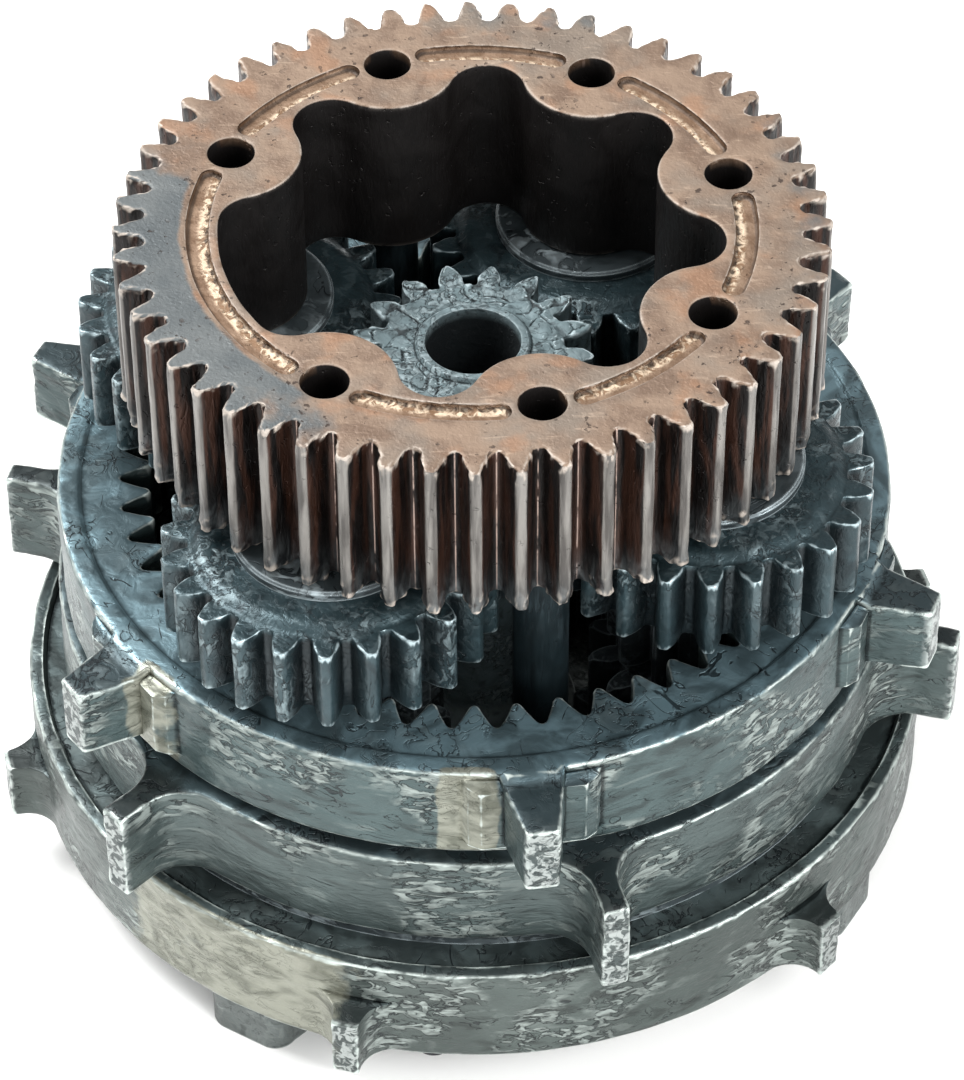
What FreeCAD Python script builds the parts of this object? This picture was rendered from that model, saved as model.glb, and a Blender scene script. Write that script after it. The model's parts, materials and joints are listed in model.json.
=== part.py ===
"""Three-speed compound planetary gearbox, as an assembly of separate sub-parts.

Millimetres, +Z up. The origin is on the main axis, at the underside of the base plate.

The toothed carrier flange on top drives four stepped planets. Each planet carries a 23-tooth
gear that meshes with the sun, and 12-, 15- and 18-tooth steps that mesh with ring gears 1, 2
and 3. Every one of those pairs has a tooth sum or difference of 39, so planets set 10/39 of a
turn apart all mesh with the same orientation of their teeth. Three posts tie the flange to a
lower carrier plate, which runs in a plain bearing in the base plate under ring gear 3.
"""

import FreeCAD, Part
import math
import os

# ---- driving dimensions -------------------------------------------------------------------

# carrier flange: the large spur gear on top
FLANGE_TEETH = 52
FLANGE_MODULE = 1.5
FLANGE_BOTTOM = 65.8
FLANGE_TOP = 87.1
FLANGE_TOOTH_ANGLE = 90.4
FLANGE_PRESSURE_ANGLE = 20.0
FLANGE_TOOTH_THINNING = 0.05
TOOTH_END_CHAMFER = 0.5

# seven holes of the flange, with the bore scalloped round them and grooves between them
HOLE_RADIUS = 2.7
HOLE_CHAMFER = 0.45
LOBE_RADIUS = 8.1
RECESS_RADIUS = 28.6
SCALLOP_RADIUS = 4.4
GROOVE_RADIUS = 30.9
GROOVE_WIDTH = 2.6
GROOVE_DEPTH = 0.8
GROOVE_END_GAP = 5.2

# internal gearing
MODULE = 1.56
PRESSURE_ANGLE = 25.0
TOOTH_STEPS = 39
PLANETS = 4
FIRST_PLANET_ANGLE = -121.9
UPPER_TEETH = 23
STEP_TEETH = (12, 15, 18)
SUN_TEETH = TOOTH_STEPS - UPPER_TEETH
SIDE_GAP = 0.10

# ring gears 1 to 3, from the top down
RING_RADIUS = (49.2, 50.0, 54.5)
RING_1_STEP_RADIUS = 46.4
RING_1_STEP_DEPTH = 0.3
RING_3_RIM_RADIUS = 52.9
RING_3_RIM_HEIGHT = 0.9
RING_LEVELS = ((36.5, 49.4), (22.3, 35.1), (6.7, 20.9))
LUGS = 6
LUG_TIP_RADIUS = (57.6, 59.1, 58.9)
LUG_LEVELS = ((39.4, 49.4), (22.3, 35.1), (6.7, 15.2))
SHOULDER_LEVELS = (38.6, 48.4)
LUG_ANGLE = (-22.6, -14.5, -45.0)
LUG_TIP_WIDTH = (3.8, 3.2, 3.2)
LUG_BEND_RADIUS = (0, 5.6, 4.0)
SHOULDER_WIDTH = 14.6
SHOULDER_HEIGHT = 1.3
EDGE_CHAMFER = 0.6
SPACER_RADII = ((44.4, 47.4), (46.8, 48.8))

# planets
UPPER_LEVELS = (52.6, 64.4)
UPPER_TOOTH_TOP = 63.5
UPPER_FACE_RADIUS = 15.6
CLUSTER_BOTTOM = 7.0
CLUSTER_TOP = 64.2
CLUSTER_JOURNAL_RADIUS = 6.5
CLUSTER_SHOULDER_RADIUS = 9.5
STEP_END_GAP = 0.1
PIN_RADIUS = HOLE_RADIUS
PIN_TOP = 77.5
RUNNING_GAP = 0.05
BUSH_RADIUS = 4.2
BUSH_LENGTH = 18.0
WASHER_RADIUS = 11.2
LOWER_WASHER_RADIUS = 5.5
WASHER_TOP = 65.6

# sun
SUN_TOP = 69.5
SUN_TEETH_BOTTOM = 52.2
SUN_BORE_RADIUS = 5.55
SLEEVE_RADIUS = 8.0
SLEEVE_BOTTOM = 3.0
COLLAR_RADIUS = 7.4
COLLAR_HEIGHT = 0.5
FLARE_RADIUS = 10.2
CLIP_DEPTH = 0.6
CLIP_THICKNESS = 1.0
THRUST_WASHER_RADIUS = 9.6

# carrier posts and lower plate
POST_RADIUS = 3.2
PLATE_RADIUS = 36.0
PLATE_LEVELS = (2.4, 6.0)
HUB_RADIUS = 12.5
HUB_TOP = 9.4
SUN_BUSH_RADIUS = 10.0
HEAD_RECESS_RADIUS = 2.8
HEAD_HEIGHT = 1.5
PLATE_SCREW_LENGTH = 11.5

# base plate
BASE_RADIUS = 46.0
BASE_THICKNESS = RING_LEVELS[2][0]
BASE_FLOOR = 2.0
BASE_BORE_RADIUS = 7.0
FLANGE_UNDERSIDE = 4.2
BASE_FLANGE_RADIUS = 51.2
POCKET_RADIUS = 38.5
PLATE_BEARING_TOP = 5.9
TABS = 4
TAB_ANGLE = -121.0
TAB_TIP_RADIUS = 53.6
TAB_HALF_WIDTH = 5.4
TAB_CORNER = 2.6
TAB_HOLE_CIRCLE = 47.6
TAB_HOLE_RADIUS = 1.65

# fasteners between the base plate and ring gear 3
SCREW_RADIUS = 1.5
SCREW_HEAD_RADIUS = 2.2
SCREW_HEAD_HEIGHT = 2.2
SCREW_CIRCLE = 48.8
SCREW_OFFSET_ANGLE = 25.0
SCREW_REACH = 6.5
DOWEL_RADIUS = 1.5
DOWEL_REACH = 4.0
FACE_GAP = 0.15

# ---- derived places -----------------------------------------------------------------------

HOLE_STEP = 360.0 * 5 / TOOTH_STEPS
CENTRE_DISTANCE = TOOTH_STEPS * MODULE / 2
HOLE_ANGLES = [FIRST_PLANET_ANGLE + HOLE_STEP * k for k in range(2 * PLANETS - 1)]
PLANET_ANGLES = HOLE_ANGLES[0::2]
POST_ANGLES = HOLE_ANGLES[1::2]
RING_TEETH = [TOOTH_STEPS + teeth for teeth in STEP_TEETH]
TAB_ANGLES = [TAB_ANGLE + 360.0 / TABS * k for k in range(TABS)]
BASE_SCREW_ANGLES = [angle + side * SCREW_OFFSET_ANGLE for angle in TAB_ANGLES for side in (-1, 1)]
DOWEL_ANGLES = [TAB_ANGLES[0] + 45.0, TAB_ANGLES[2] + 45.0]
Z_AXIS = FreeCAD.Vector(0, 0, 1)


# ---- geometry helpers ---------------------------------------------------------------------

def polar(radius, degrees, z=0.0):
    angle = math.radians(degrees)
    return FreeCAD.Vector(radius * math.cos(angle), radius * math.sin(angle), z)


def arc(start, middle, end):
    return Part.Arc(start, middle, end).toShape()


def line(start, end):
    return Part.makeLine(start, end)


def cylinder(radius, bottom, top, centre=FreeCAD.Vector()):
    place = FreeCAD.Vector(centre.x, centre.y, bottom)
    return Part.makeCylinder(radius, top - bottom, place, Z_AXIS)


def tube(inner, outer, bottom, top, centre=FreeCAD.Vector()):
    return cylinder(outer, bottom, top, centre).cut(cylinder(inner, bottom, top, centre))


def turned(profile, centre=FreeCAD.Vector()):
    """Solid of revolution of a closed (radius, height) outline about an upright axis."""
    points = [FreeCAD.Vector(radius, 0, height) for radius, height in profile]
    face = Part.Face(Part.makePolygon(points + points[:1]))
    solid = face.revolve(FreeCAD.Vector(), Z_AXIS, 360)
    solid.translate(centre)
    return solid


def prism(outline, bottom, top):
    """Upright prism over a closed outline that was drawn at height 0."""
    face = Part.Face(outline)
    face.translate(FreeCAD.Vector(0, 0, bottom))
    return face.extrude(FreeCAD.Vector(0, 0, top - bottom))


def chamfered_disc(radius, bottom, top, chamfer, centre=FreeCAD.Vector()):
    return turned([(0, bottom), (radius - chamfer, bottom), (radius, bottom + chamfer),
                   (radius, top - chamfer), (radius - chamfer, top), (0, top)], centre)


def export(node, shape):
    shape.exportStep("parts/" + node + ".step")


# ---- gear teeth ---------------------------------------------------------------------------

def involute(angle):
    return math.tan(angle) - angle


def gear_outline(teeth, module, pressure, tip, root, thinning, phase):
    """Closed outline of a spur gear about the origin, with a tooth centred on the phase angle.

    Each flank is an arc through three points of the involute. Below the base circle the flank
    runs straight in to the root. Thinning is taken off each side of a tooth; a negative value
    makes the teeth wider, which is how the gaps of an internal gear are drawn.
    """
    pressure = math.radians(pressure)
    pitch_radius = module * teeth / 2
    base_radius = pitch_radius * math.cos(pressure)
    pitch_half = math.pi / 2 / teeth - thinning / pitch_radius

    def half_angle(radius):
        local = math.acos(min(1.0, base_radius / radius))
        return math.degrees(pitch_half + involute(pressure) - involute(local))

    low = max(base_radius, root)
    middle = (low + tip) / 2
    pitch_angle = 360.0 / teeth
    edges = []
    for tooth in range(teeth):
        centre = phase + tooth * pitch_angle
        right = [polar(radius, centre - half_angle(radius)) for radius in (low, middle, tip)]
        left = [polar(radius, centre + half_angle(radius)) for radius in (tip, middle, low)]
        foot_right = polar(root, centre - half_angle(low))
        foot_left = polar(root, centre + half_angle(low))
        next_foot = polar(root, centre + pitch_angle - half_angle(low))
        if root < low:
            edges.append(line(foot_right, right[0]))
        edges.append(arc(*right))
        edges.append(arc(right[2], polar(tip, centre), left[0]))
        edges.append(arc(*left))
        if root < low:
            edges.append(line(left[2], foot_left))
        edges.append(arc(foot_left, polar(root, centre + pitch_angle / 2), next_foot))
    return Part.Wire(edges)


def inner_gear(teeth, bottom, top, centre=FreeCAD.Vector()):
    """External gear of the internal gearing, with chamfered tooth ends."""
    pitch_radius = MODULE * teeth / 2
    tip = pitch_radius + MODULE
    root = pitch_radius - 1.25 * MODULE
    outline = gear_outline(teeth, MODULE, PRESSURE_ANGLE, tip, root, SIDE_GAP, FIRST_PLANET_ANGLE)
    blank = chamfered_disc(tip, bottom, top, TOOTH_END_CHAMFER)
    gear = prism(outline, bottom, top).common(blank)
    gear.translate(centre)
    return gear


def internal_outline(teeth):
    """Outline of the toothed opening of a ring gear, with a gap centred on the phase angle."""
    pitch_radius = MODULE * teeth / 2
    far = pitch_radius + 1.25 * MODULE
    near = pitch_radius - MODULE
    return gear_outline(teeth, MODULE, PRESSURE_ANGLE, far, near, -SIDE_GAP, FIRST_PLANET_ANGLE)


# ---- carrier ------------------------------------------------------------------------------

def scalloped_bore():
    """Bore outline: a lobe round each hole, a round pocket between lobes, one wide recess."""
    half_step = HOLE_STEP / 2
    # a pocket at this distance touches both neighbouring lobes, and its far side lies on the
    # circle that the wide recess follows
    pocket_distance = RECESS_RADIUS - SCALLOP_RADIUS

    def touch(hole_angle, pocket_angle):
        lobe_centre = polar(CENTRE_DISTANCE, hole_angle)
        pocket_centre = polar(pocket_distance, pocket_angle)
        share = LOBE_RADIUS / (LOBE_RADIUS + SCALLOP_RADIUS)
        return lobe_centre + (pocket_centre - lobe_centre) * share

    edges = []
    for index, angle in enumerate(HOLE_ANGLES):
        before = touch(angle, angle - half_step)
        after = touch(angle, angle + half_step)
        edges.append(arc(before, polar(CENTRE_DISTANCE - LOBE_RADIUS, angle), after))
        pocket_angle = angle + half_step
        if index < len(HOLE_ANGLES) - 1:
            following = touch(angle + HOLE_STEP, pocket_angle)
            edges.append(arc(after, polar(RECESS_RADIUS, pocket_angle), following))
            continue
        recess_end = HOLE_ANGLES[0] + 360 - half_step
        corner = polar(pocket_distance, pocket_angle)
        end_corner = polar(pocket_distance, recess_end)
        out_angle = pocket_angle - half_step
        edges.append(arc(after, corner + polar(SCALLOP_RADIUS, out_angle),
                         polar(RECESS_RADIUS, pocket_angle)))
        edges.append(arc(polar(RECESS_RADIUS, pocket_angle),
                         polar(RECESS_RADIUS, (pocket_angle + recess_end) / 2),
                         polar(RECESS_RADIUS, recess_end)))
        edges.append(arc(polar(RECESS_RADIUS, recess_end),
                         end_corner + polar(SCALLOP_RADIUS, recess_end + half_step),
                         touch(HOLE_ANGLES[0], recess_end)))
    return Part.Wire(edges)


def arc_groove(start, end):
    """Round-ended curved groove in the flange's top face, between two angles."""
    half = GROOVE_WIDTH / 2
    inner = GROOVE_RADIUS - half
    outer = GROOVE_RADIUS + half
    middle = (start + end) / 2
    tangent = 90.0
    edges = [arc(polar(outer, start), polar(outer, middle), polar(outer, end)),
             arc(polar(outer, end), polar(GROOVE_RADIUS, end) + polar(half, end + tangent),
                 polar(inner, end)),
             arc(polar(inner, end), polar(inner, middle), polar(inner, start)),
             arc(polar(inner, start), polar(GROOVE_RADIUS, start) + polar(half, start - tangent),
                 polar(outer, start))]
    return prism(Part.Wire(edges), FLANGE_TOP - GROOVE_DEPTH, FLANGE_TOP + 1)


def carrier_gear():
    pitch_radius = FLANGE_MODULE * FLANGE_TEETH / 2
    tip = pitch_radius + FLANGE_MODULE
    root = pitch_radius - 1.25 * FLANGE_MODULE
    outline = gear_outline(FLANGE_TEETH, FLANGE_MODULE, FLANGE_PRESSURE_ANGLE, tip, root,
                           FLANGE_TOOTH_THINNING, FLANGE_TOOTH_ANGLE)
    body = prism(outline, FLANGE_BOTTOM, FLANGE_TOP)
    body = body.common(chamfered_disc(tip, FLANGE_BOTTOM, FLANGE_TOP, TOOTH_END_CHAMFER))
    body = body.cut(prism(scalloped_bore(), FLANGE_BOTTOM - 1, FLANGE_TOP + 1))
    cuts = []
    for angle in HOLE_ANGLES:
        centre = polar(CENTRE_DISTANCE, angle)
        cuts.append(turned([(0, FLANGE_BOTTOM - 1), (HOLE_RADIUS, FLANGE_BOTTOM - 1),
                            (HOLE_RADIUS, FLANGE_TOP - HOLE_CHAMFER),
                            (HOLE_RADIUS + HOLE_CHAMFER, FLANGE_TOP),
                            (HOLE_RADIUS + HOLE_CHAMFER, FLANGE_TOP + 1),
                            (0, FLANGE_TOP + 1)], centre))
    end_gap = math.degrees(GROOVE_END_GAP / GROOVE_RADIUS)
    for angle in HOLE_ANGLES[:-1]:
        cuts.append(arc_groove(angle + end_gap, angle + HOLE_STEP - end_gap))
    cuts.append(arc_groove(HOLE_ANGLES[-1] + end_gap, HOLE_ANGLES[0] + 360 - end_gap))
    return body.cut(Part.makeCompound(cuts))


def carrier_plate():
    low, high = PLATE_LEVELS
    plate = chamfered_disc(PLATE_RADIUS, low, high, 0.3).fuse(cylinder(HUB_RADIUS, low, HUB_TOP))
    cuts = [cylinder(SUN_BUSH_RADIUS, low - 1, HUB_TOP + 1)]
    for angle in PLANET_ANGLES:
        cuts.append(cylinder(PIN_RADIUS, low - 1, high + 1, polar(CENTRE_DISTANCE, angle)))
    for angle in POST_ANGLES:
        cuts.append(cylinder(SCREW_RADIUS, low - 1, high + 1, polar(CENTRE_DISTANCE, angle)))
        cuts.append(cylinder(HEAD_RECESS_RADIUS, low - 1, low + HEAD_HEIGHT,
                             polar(CENTRE_DISTANCE, angle)))
    return plate.cut(Part.makeCompound(cuts)).removeSplitter()


def planet_pin(angle):
    low = PLATE_LEVELS[0]
    return chamfered_disc(PIN_RADIUS, low, PIN_TOP, 0.4, polar(CENTRE_DISTANCE, angle))


def carrier_post(angle):
    """Spacer post with a spigot up into the flange and a threaded hole for its screw."""
    low = PLATE_LEVELS[1]
    tap_depth = 9.0
    return turned([(SCREW_RADIUS, low), (POST_RADIUS, low), (POST_RADIUS, FLANGE_BOTTOM),
                   (HOLE_RADIUS, FLANGE_BOTTOM), (HOLE_RADIUS, PIN_TOP - 0.4),
                   (HOLE_RADIUS - 0.4, PIN_TOP), (0, PIN_TOP), (0, low + tap_depth + 1),
                   (SCREW_RADIUS, low + tap_depth)], polar(CENTRE_DISTANCE, angle))


def cap_screw(head_radius, bottom, shoulder, top, centre):
    """Cap screw standing head down: the head from bottom to shoulder, the shank above it."""
    screw = turned([(0, bottom), (head_radius - 0.2, bottom), (head_radius, bottom + 0.2),
                    (head_radius, shoulder), (SCREW_RADIUS, shoulder),
                    (SCREW_RADIUS, top - 0.4), (SCREW_RADIUS - 0.4, top), (0, top)], centre)
    socket_radius = 1.1
    socket_depth = 0.8
    corners = [polar(socket_radius, 60 * side, bottom) for side in range(7)]
    socket = Part.Face(Part.makePolygon(corners))
    socket.translate(centre)
    return screw.cut(socket.extrude(FreeCAD.Vector(0, 0, socket_depth)))


def carrier_screws():
    low = PLATE_LEVELS[0]
    return Part.makeCompound([
        cap_screw(HEAD_RECESS_RADIUS - 0.1, low, low + HEAD_HEIGHT, low + PLATE_SCREW_LENGTH,
                  polar(CENTRE_DISTANCE, angle))
        for angle in POST_ANGLES])


# ---- planets ------------------------------------------------------------------------------

def planet_gear(angle):
    """Upper planet gear: its web stands proud of the tooth ends, and it is bored for the journal."""
    low, high = UPPER_LEVELS
    gear = inner_gear(UPPER_TEETH, low, UPPER_TOOTH_TOP)
    gear = gear.fuse(chamfered_disc(UPPER_FACE_RADIUS, low + 1, high, 0.4))
    gear = gear.cut(cylinder(CLUSTER_JOURNAL_RADIUS, low - 1, high + 1)).removeSplitter()
    gear.translate(polar(CENTRE_DISTANCE, angle))
    return gear


def planet_cluster(angle):
    """Three gear steps turned from one bar, with necks between them and a top journal."""
    levels = [(low + STEP_END_GAP, high - STEP_END_GAP) for low, high in RING_LEVELS[:2]]
    levels.append((CLUSTER_BOTTOM, RING_LEVELS[2][1] - 4 * STEP_END_GAP))
    cluster = cylinder(CLUSTER_JOURNAL_RADIUS, CLUSTER_BOTTOM, CLUSTER_TOP)
    cluster = cluster.fuse(cylinder(CLUSTER_SHOULDER_RADIUS, levels[0][1] + 1, UPPER_LEVELS[0]))
    for teeth, (low, high) in zip(STEP_TEETH, levels):
        cluster = cluster.fuse(inner_gear(teeth, low, high))
    cluster = cluster.cut(cylinder(BUSH_RADIUS, CLUSTER_BOTTOM - 1, CLUSTER_TOP + 1))
    cluster = cluster.removeSplitter()
    cluster.translate(polar(CENTRE_DISTANCE, angle))
    return cluster


def planet_bushes(angle):
    """Two bronze bushes pressed into the cluster, one at each end of its bore."""
    centre = polar(CENTRE_DISTANCE, angle)
    inner = PIN_RADIUS + RUNNING_GAP
    lower = tube(inner, BUSH_RADIUS, CLUSTER_BOTTOM, CLUSTER_BOTTOM + BUSH_LENGTH, centre)
    upper = tube(inner, BUSH_RADIUS, CLUSTER_TOP - BUSH_LENGTH, CLUSTER_TOP, centre)
    return Part.makeCompound([lower, upper])


def planet_washer(angle):
    low = UPPER_LEVELS[1]
    inner = PIN_RADIUS + RUNNING_GAP
    return turned([(inner, low), (WASHER_RADIUS, low), (WASHER_RADIUS, WASHER_TOP - 0.3),
                   (WASHER_RADIUS - 0.3, WASHER_TOP), (inner, WASHER_TOP)],
                  polar(CENTRE_DISTANCE, angle))


def lower_washers():
    low = PLATE_LEVELS[1]
    high = CLUSTER_BOTTOM - FACE_GAP
    return Part.makeCompound([
        tube(PIN_RADIUS, LOWER_WASHER_RADIUS, low, high, polar(CENTRE_DISTANCE, angle))
        for angle in PLANET_ANGLES])


# ---- sun ----------------------------------------------------------------------------------

def sun_gear():
    """Sun gear on a long hollow sleeve, with a raised ring round the mouth of its bore."""
    mouth = SUN_BORE_RADIUS + 0.4
    flare_bottom = SUN_TEETH_BOTTOM - 3.0
    gear = inner_gear(SUN_TEETH, SUN_TEETH_BOTTOM, SUN_TOP - COLLAR_HEIGHT)
    collar = chamfered_disc(COLLAR_RADIUS, SUN_TOP - 3.0, SUN_TOP, 0.4)
    sleeve = chamfered_disc(SLEEVE_RADIUS, SLEEVE_BOTTOM, SUN_TEETH_BOTTOM + 1, 0.4)
    flare = turned([(0, flare_bottom), (SLEEVE_RADIUS, flare_bottom),
                    (FLARE_RADIUS, SUN_TEETH_BOTTOM), (0, SUN_TEETH_BOTTOM)])
    body = gear.fuse([collar, sleeve, flare])
    bore = turned([(0, SLEEVE_BOTTOM - 1), (SUN_BORE_RADIUS, SLEEVE_BOTTOM - 1),
                   (SUN_BORE_RADIUS, SUN_TOP - 0.4), (mouth, SUN_TOP), (mouth, SUN_TOP + 1),
                   (0, SUN_TOP + 1)])
    groove_bottom = HUB_TOP + 0.3
    groove = tube(SLEEVE_RADIUS - CLIP_DEPTH, SLEEVE_RADIUS + 1, groove_bottom,
                  groove_bottom + CLIP_THICKNESS + 0.1)
    return body.cut(bore).cut(groove).removeSplitter()


def sun_clip():
    """Split retaining ring in the sleeve's groove, resting over the lower plate's hub."""
    low = HUB_TOP + 0.35
    ring = tube(SLEEVE_RADIUS - CLIP_DEPTH, SLEEVE_RADIUS + 1.2, low, low + CLIP_THICKNESS)
    slot = Part.makeBox(4, 3, 3, FreeCAD.Vector(SLEEVE_RADIUS - 2, -1.5, low - 1))
    return ring.cut(slot)


def sun_bush():
    return tube(SLEEVE_RADIUS + RUNNING_GAP, SUN_BUSH_RADIUS, SLEEVE_BOTTOM + 0.2, HUB_TOP)


def sun_thrust_washer():
    return tube(BASE_BORE_RADIUS, THRUST_WASHER_RADIUS, BASE_FLOOR, SLEEVE_BOTTOM - 0.1)


# ---- ring gears ---------------------------------------------------------------------------

def flared_lug_outline(ring):
    """Ring outline with square-ended lugs that flare into the rim through concave bends."""
    radius = RING_RADIUS[ring]
    bend = LUG_BEND_RADIUS[ring]
    half = LUG_TIP_WIDTH[ring] / 2
    tip = LUG_TIP_RADIUS[ring]
    bend_x = math.sqrt((radius + bend) ** 2 - (half + bend) ** 2)
    rim_angle = math.degrees(math.atan2(half + bend, bend_x))
    tip_x = math.sqrt(tip ** 2 - half ** 2)
    # halfway point of the bend, measured from the bend's centre
    toward_rim = 180 + rim_angle
    mid_angle = (toward_rim + 270) / 2

    def turn(x, y, degrees):
        return polar(math.hypot(x, y), degrees + math.degrees(math.atan2(y, x)))

    edges = []
    step = 360.0 / LUGS
    mid_x = bend_x + bend * math.cos(math.radians(mid_angle))
    mid_y = half + bend + bend * math.sin(math.radians(mid_angle))
    for lug in range(LUGS):
        angle = LUG_ANGLE[ring] + lug * step
        edges.append(arc(polar(radius, angle - rim_angle), turn(mid_x, -mid_y, angle),
                         turn(bend_x, -half, angle)))
        edges.append(line(turn(bend_x, -half, angle), turn(tip_x, -half, angle)))
        edges.append(arc(turn(tip_x, -half, angle), polar(tip, angle), turn(tip_x, half, angle)))
        edges.append(line(turn(tip_x, half, angle), turn(bend_x, half, angle)))
        edges.append(arc(turn(bend_x, half, angle), turn(mid_x, mid_y, angle),
                         polar(radius, angle + rim_angle)))
        edges.append(arc(polar(radius, angle + rim_angle), polar(radius, angle + step / 2),
                         polar(radius, angle + step - rim_angle)))
    return Part.Wire(edges)


def shouldered_lug():
    """Tapered lug of ring gear 1 on a wide, slightly raised shoulder, drawn along +X."""
    inside = RING_RADIUS[0] - 2.0
    shoulder_radius = RING_RADIUS[0] + SHOULDER_HEIGHT
    half_shoulder = SHOULDER_WIDTH / 2
    half_root = 3.4
    half_tip = LUG_TIP_WIDTH[0] / 2
    shoulder_side = [(inside, half_shoulder), (shoulder_radius - 0.9, half_shoulder),
                     (shoulder_radius, half_shoulder - 1.4)]
    lug_side = [(inside, half_root), (shoulder_radius, half_root),
                (LUG_TIP_RADIUS[0] - 0.5, half_tip), (LUG_TIP_RADIUS[0], half_tip - 0.5)]

    def block(side, levels):
        points = [FreeCAD.Vector(x, y, levels[0]) for x, y in side]
        points += [FreeCAD.Vector(x, -y, levels[0]) for x, y in reversed(side)]
        face = Part.Face(Part.makePolygon(points + points[:1]))
        return face.extrude(FreeCAD.Vector(0, 0, levels[1] - levels[0]))

    return block(shoulder_side, SHOULDER_LEVELS).fuse(block(lug_side, LUG_LEVELS[0]))


def ring_gear_1():
    low, high = RING_LEVELS[0]
    body = chamfered_disc(RING_RADIUS[0], low, high, EDGE_CHAMFER)
    for lug in range(LUGS):
        solid = shouldered_lug()
        solid.rotate(FreeCAD.Vector(), Z_AXIS, LUG_ANGLE[0] + lug * 360.0 / LUGS)
        body = body.fuse(solid)
    # a shallow step in the top face, inside the rim
    floor = high - RING_1_STEP_DEPTH
    slope = 1.0
    step = turned([(0, floor), (RING_1_STEP_RADIUS, floor),
                   (RING_1_STEP_RADIUS + slope, high + 1), (0, high + 1)])
    opening = prism(internal_outline(RING_TEETH[0]), low - 1, high + 1)
    return body.cut(step).cut(opening).removeSplitter()


def ring_gear_2():
    low, high = RING_LEVELS[1]
    body = prism(flared_lug_outline(1), low, high)
    blank = chamfered_disc(LUG_TIP_RADIUS[1], low, high, EDGE_CHAMFER)
    opening = prism(internal_outline(RING_TEETH[1]), low - 1, high + 1)
    return body.common(blank).cut(opening)


def ring_gear_3():
    low, high = RING_LEVELS[2]
    inside = high - RING_3_RIM_HEIGHT
    rim = turned([(0, low), (RING_RADIUS[2] - 0.8, low), (RING_RADIUS[2], low + 0.8),
                  (RING_RADIUS[2], high - 0.5), (RING_RADIUS[2] - 0.5, high),
                  (RING_3_RIM_RADIUS, high), (RING_3_RIM_RADIUS - 0.6, inside), (0, inside)])
    lugs = prism(flared_lug_outline(2), low, LUG_LEVELS[2][1])
    lugs = lugs.common(chamfered_disc(LUG_TIP_RADIUS[2], low, LUG_LEVELS[2][1], EDGE_CHAMFER))
    opening = prism(internal_outline(RING_TEETH[2]), low - 1, high + 1)
    body = rim.fuse(lugs).cut(opening)
    holes = [cylinder(SCREW_RADIUS, low - 1, low + SCREW_REACH, polar(SCREW_CIRCLE, angle))
             for angle in BASE_SCREW_ANGLES]
    holes += [cylinder(DOWEL_RADIUS, low - 1, low + DOWEL_REACH, polar(SCREW_CIRCLE, angle))
              for angle in DOWEL_ANGLES]
    body = body.cut(Part.makeCompound(holes))
    return body.removeSplitter()


def ring_spacer(ring):
    """Thin thrust ring that lies on a ring gear's top face, under the next ring gear."""
    inner, outer = SPACER_RADII[ring - 1]
    top = RING_LEVELS[ring - 1][0] - FACE_GAP
    seat = RING_LEVELS[ring][1]
    if ring == 2:
        seat -= RING_3_RIM_HEIGHT
    return tube(inner, outer, seat, top)


# ---- base ---------------------------------------------------------------------------------

def mounting_tab(angle):
    """Round-cornered mounting tab, from inside the base disc out to its tip."""
    inside = BASE_RADIUS - 6.0
    corner_x = TAB_TIP_RADIUS - TAB_CORNER
    corner_y = TAB_HALF_WIDTH - TAB_CORNER
    half_foot = TAB_HALF_WIDTH + 3.0
    diagonal = TAB_CORNER * math.sqrt(0.5)

    def at(x, y):
        return FreeCAD.Vector(x, y, 0)

    outline = Part.Wire([
        line(at(inside, -half_foot), at(corner_x, -TAB_HALF_WIDTH)),
        arc(at(corner_x, -TAB_HALF_WIDTH), at(corner_x + diagonal, -corner_y - diagonal),
            at(TAB_TIP_RADIUS, -corner_y)),
        line(at(TAB_TIP_RADIUS, -corner_y), at(TAB_TIP_RADIUS, corner_y)),
        arc(at(TAB_TIP_RADIUS, corner_y), at(corner_x + diagonal, corner_y + diagonal),
            at(corner_x, TAB_HALF_WIDTH)),
        line(at(corner_x, TAB_HALF_WIDTH), at(inside, half_foot)),
        line(at(inside, half_foot), at(inside, -half_foot))])
    tab = prism(outline, 0, BASE_THICKNESS)
    tab.rotate(FreeCAD.Vector(), Z_AXIS, angle)
    return tab


def base_plate():
    """Stepped disc with four tabs, a pocket for the lower carrier plate and a centre hole."""
    body = turned([(0, 0), (BASE_RADIUS - 0.8, 0), (BASE_RADIUS, 0.8),
                   (BASE_RADIUS, FLANGE_UNDERSIDE), (BASE_FLANGE_RADIUS, FLANGE_UNDERSIDE),
                   (BASE_FLANGE_RADIUS, BASE_THICKNESS), (0, BASE_THICKNESS)])
    for angle in TAB_ANGLES:
        body = body.fuse(mounting_tab(angle))
    cuts = [cylinder(POCKET_RADIUS, BASE_FLOOR, BASE_THICKNESS + 1),
            cylinder(BASE_BORE_RADIUS, -1, BASE_FLOOR + 1)]
    cuts += [cylinder(TAB_HOLE_RADIUS, -1, BASE_THICKNESS + 1, polar(TAB_HOLE_CIRCLE, angle))
             for angle in TAB_ANGLES]
    cuts += [cylinder(SCREW_RADIUS, -1, BASE_THICKNESS + 1, polar(SCREW_CIRCLE, angle))
             for angle in BASE_SCREW_ANGLES]
    cuts += [cylinder(DOWEL_RADIUS, -1, BASE_THICKNESS + 1, polar(SCREW_CIRCLE, angle))
             for angle in DOWEL_ANGLES]
    return body.cut(Part.makeCompound(cuts)).removeSplitter()


def plate_bearing():
    """Bronze ring in the base plate's pocket, in which the lower carrier plate turns."""
    return tube(PLATE_RADIUS + RUNNING_GAP, POCKET_RADIUS, BASE_FLOOR, PLATE_BEARING_TOP)


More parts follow.
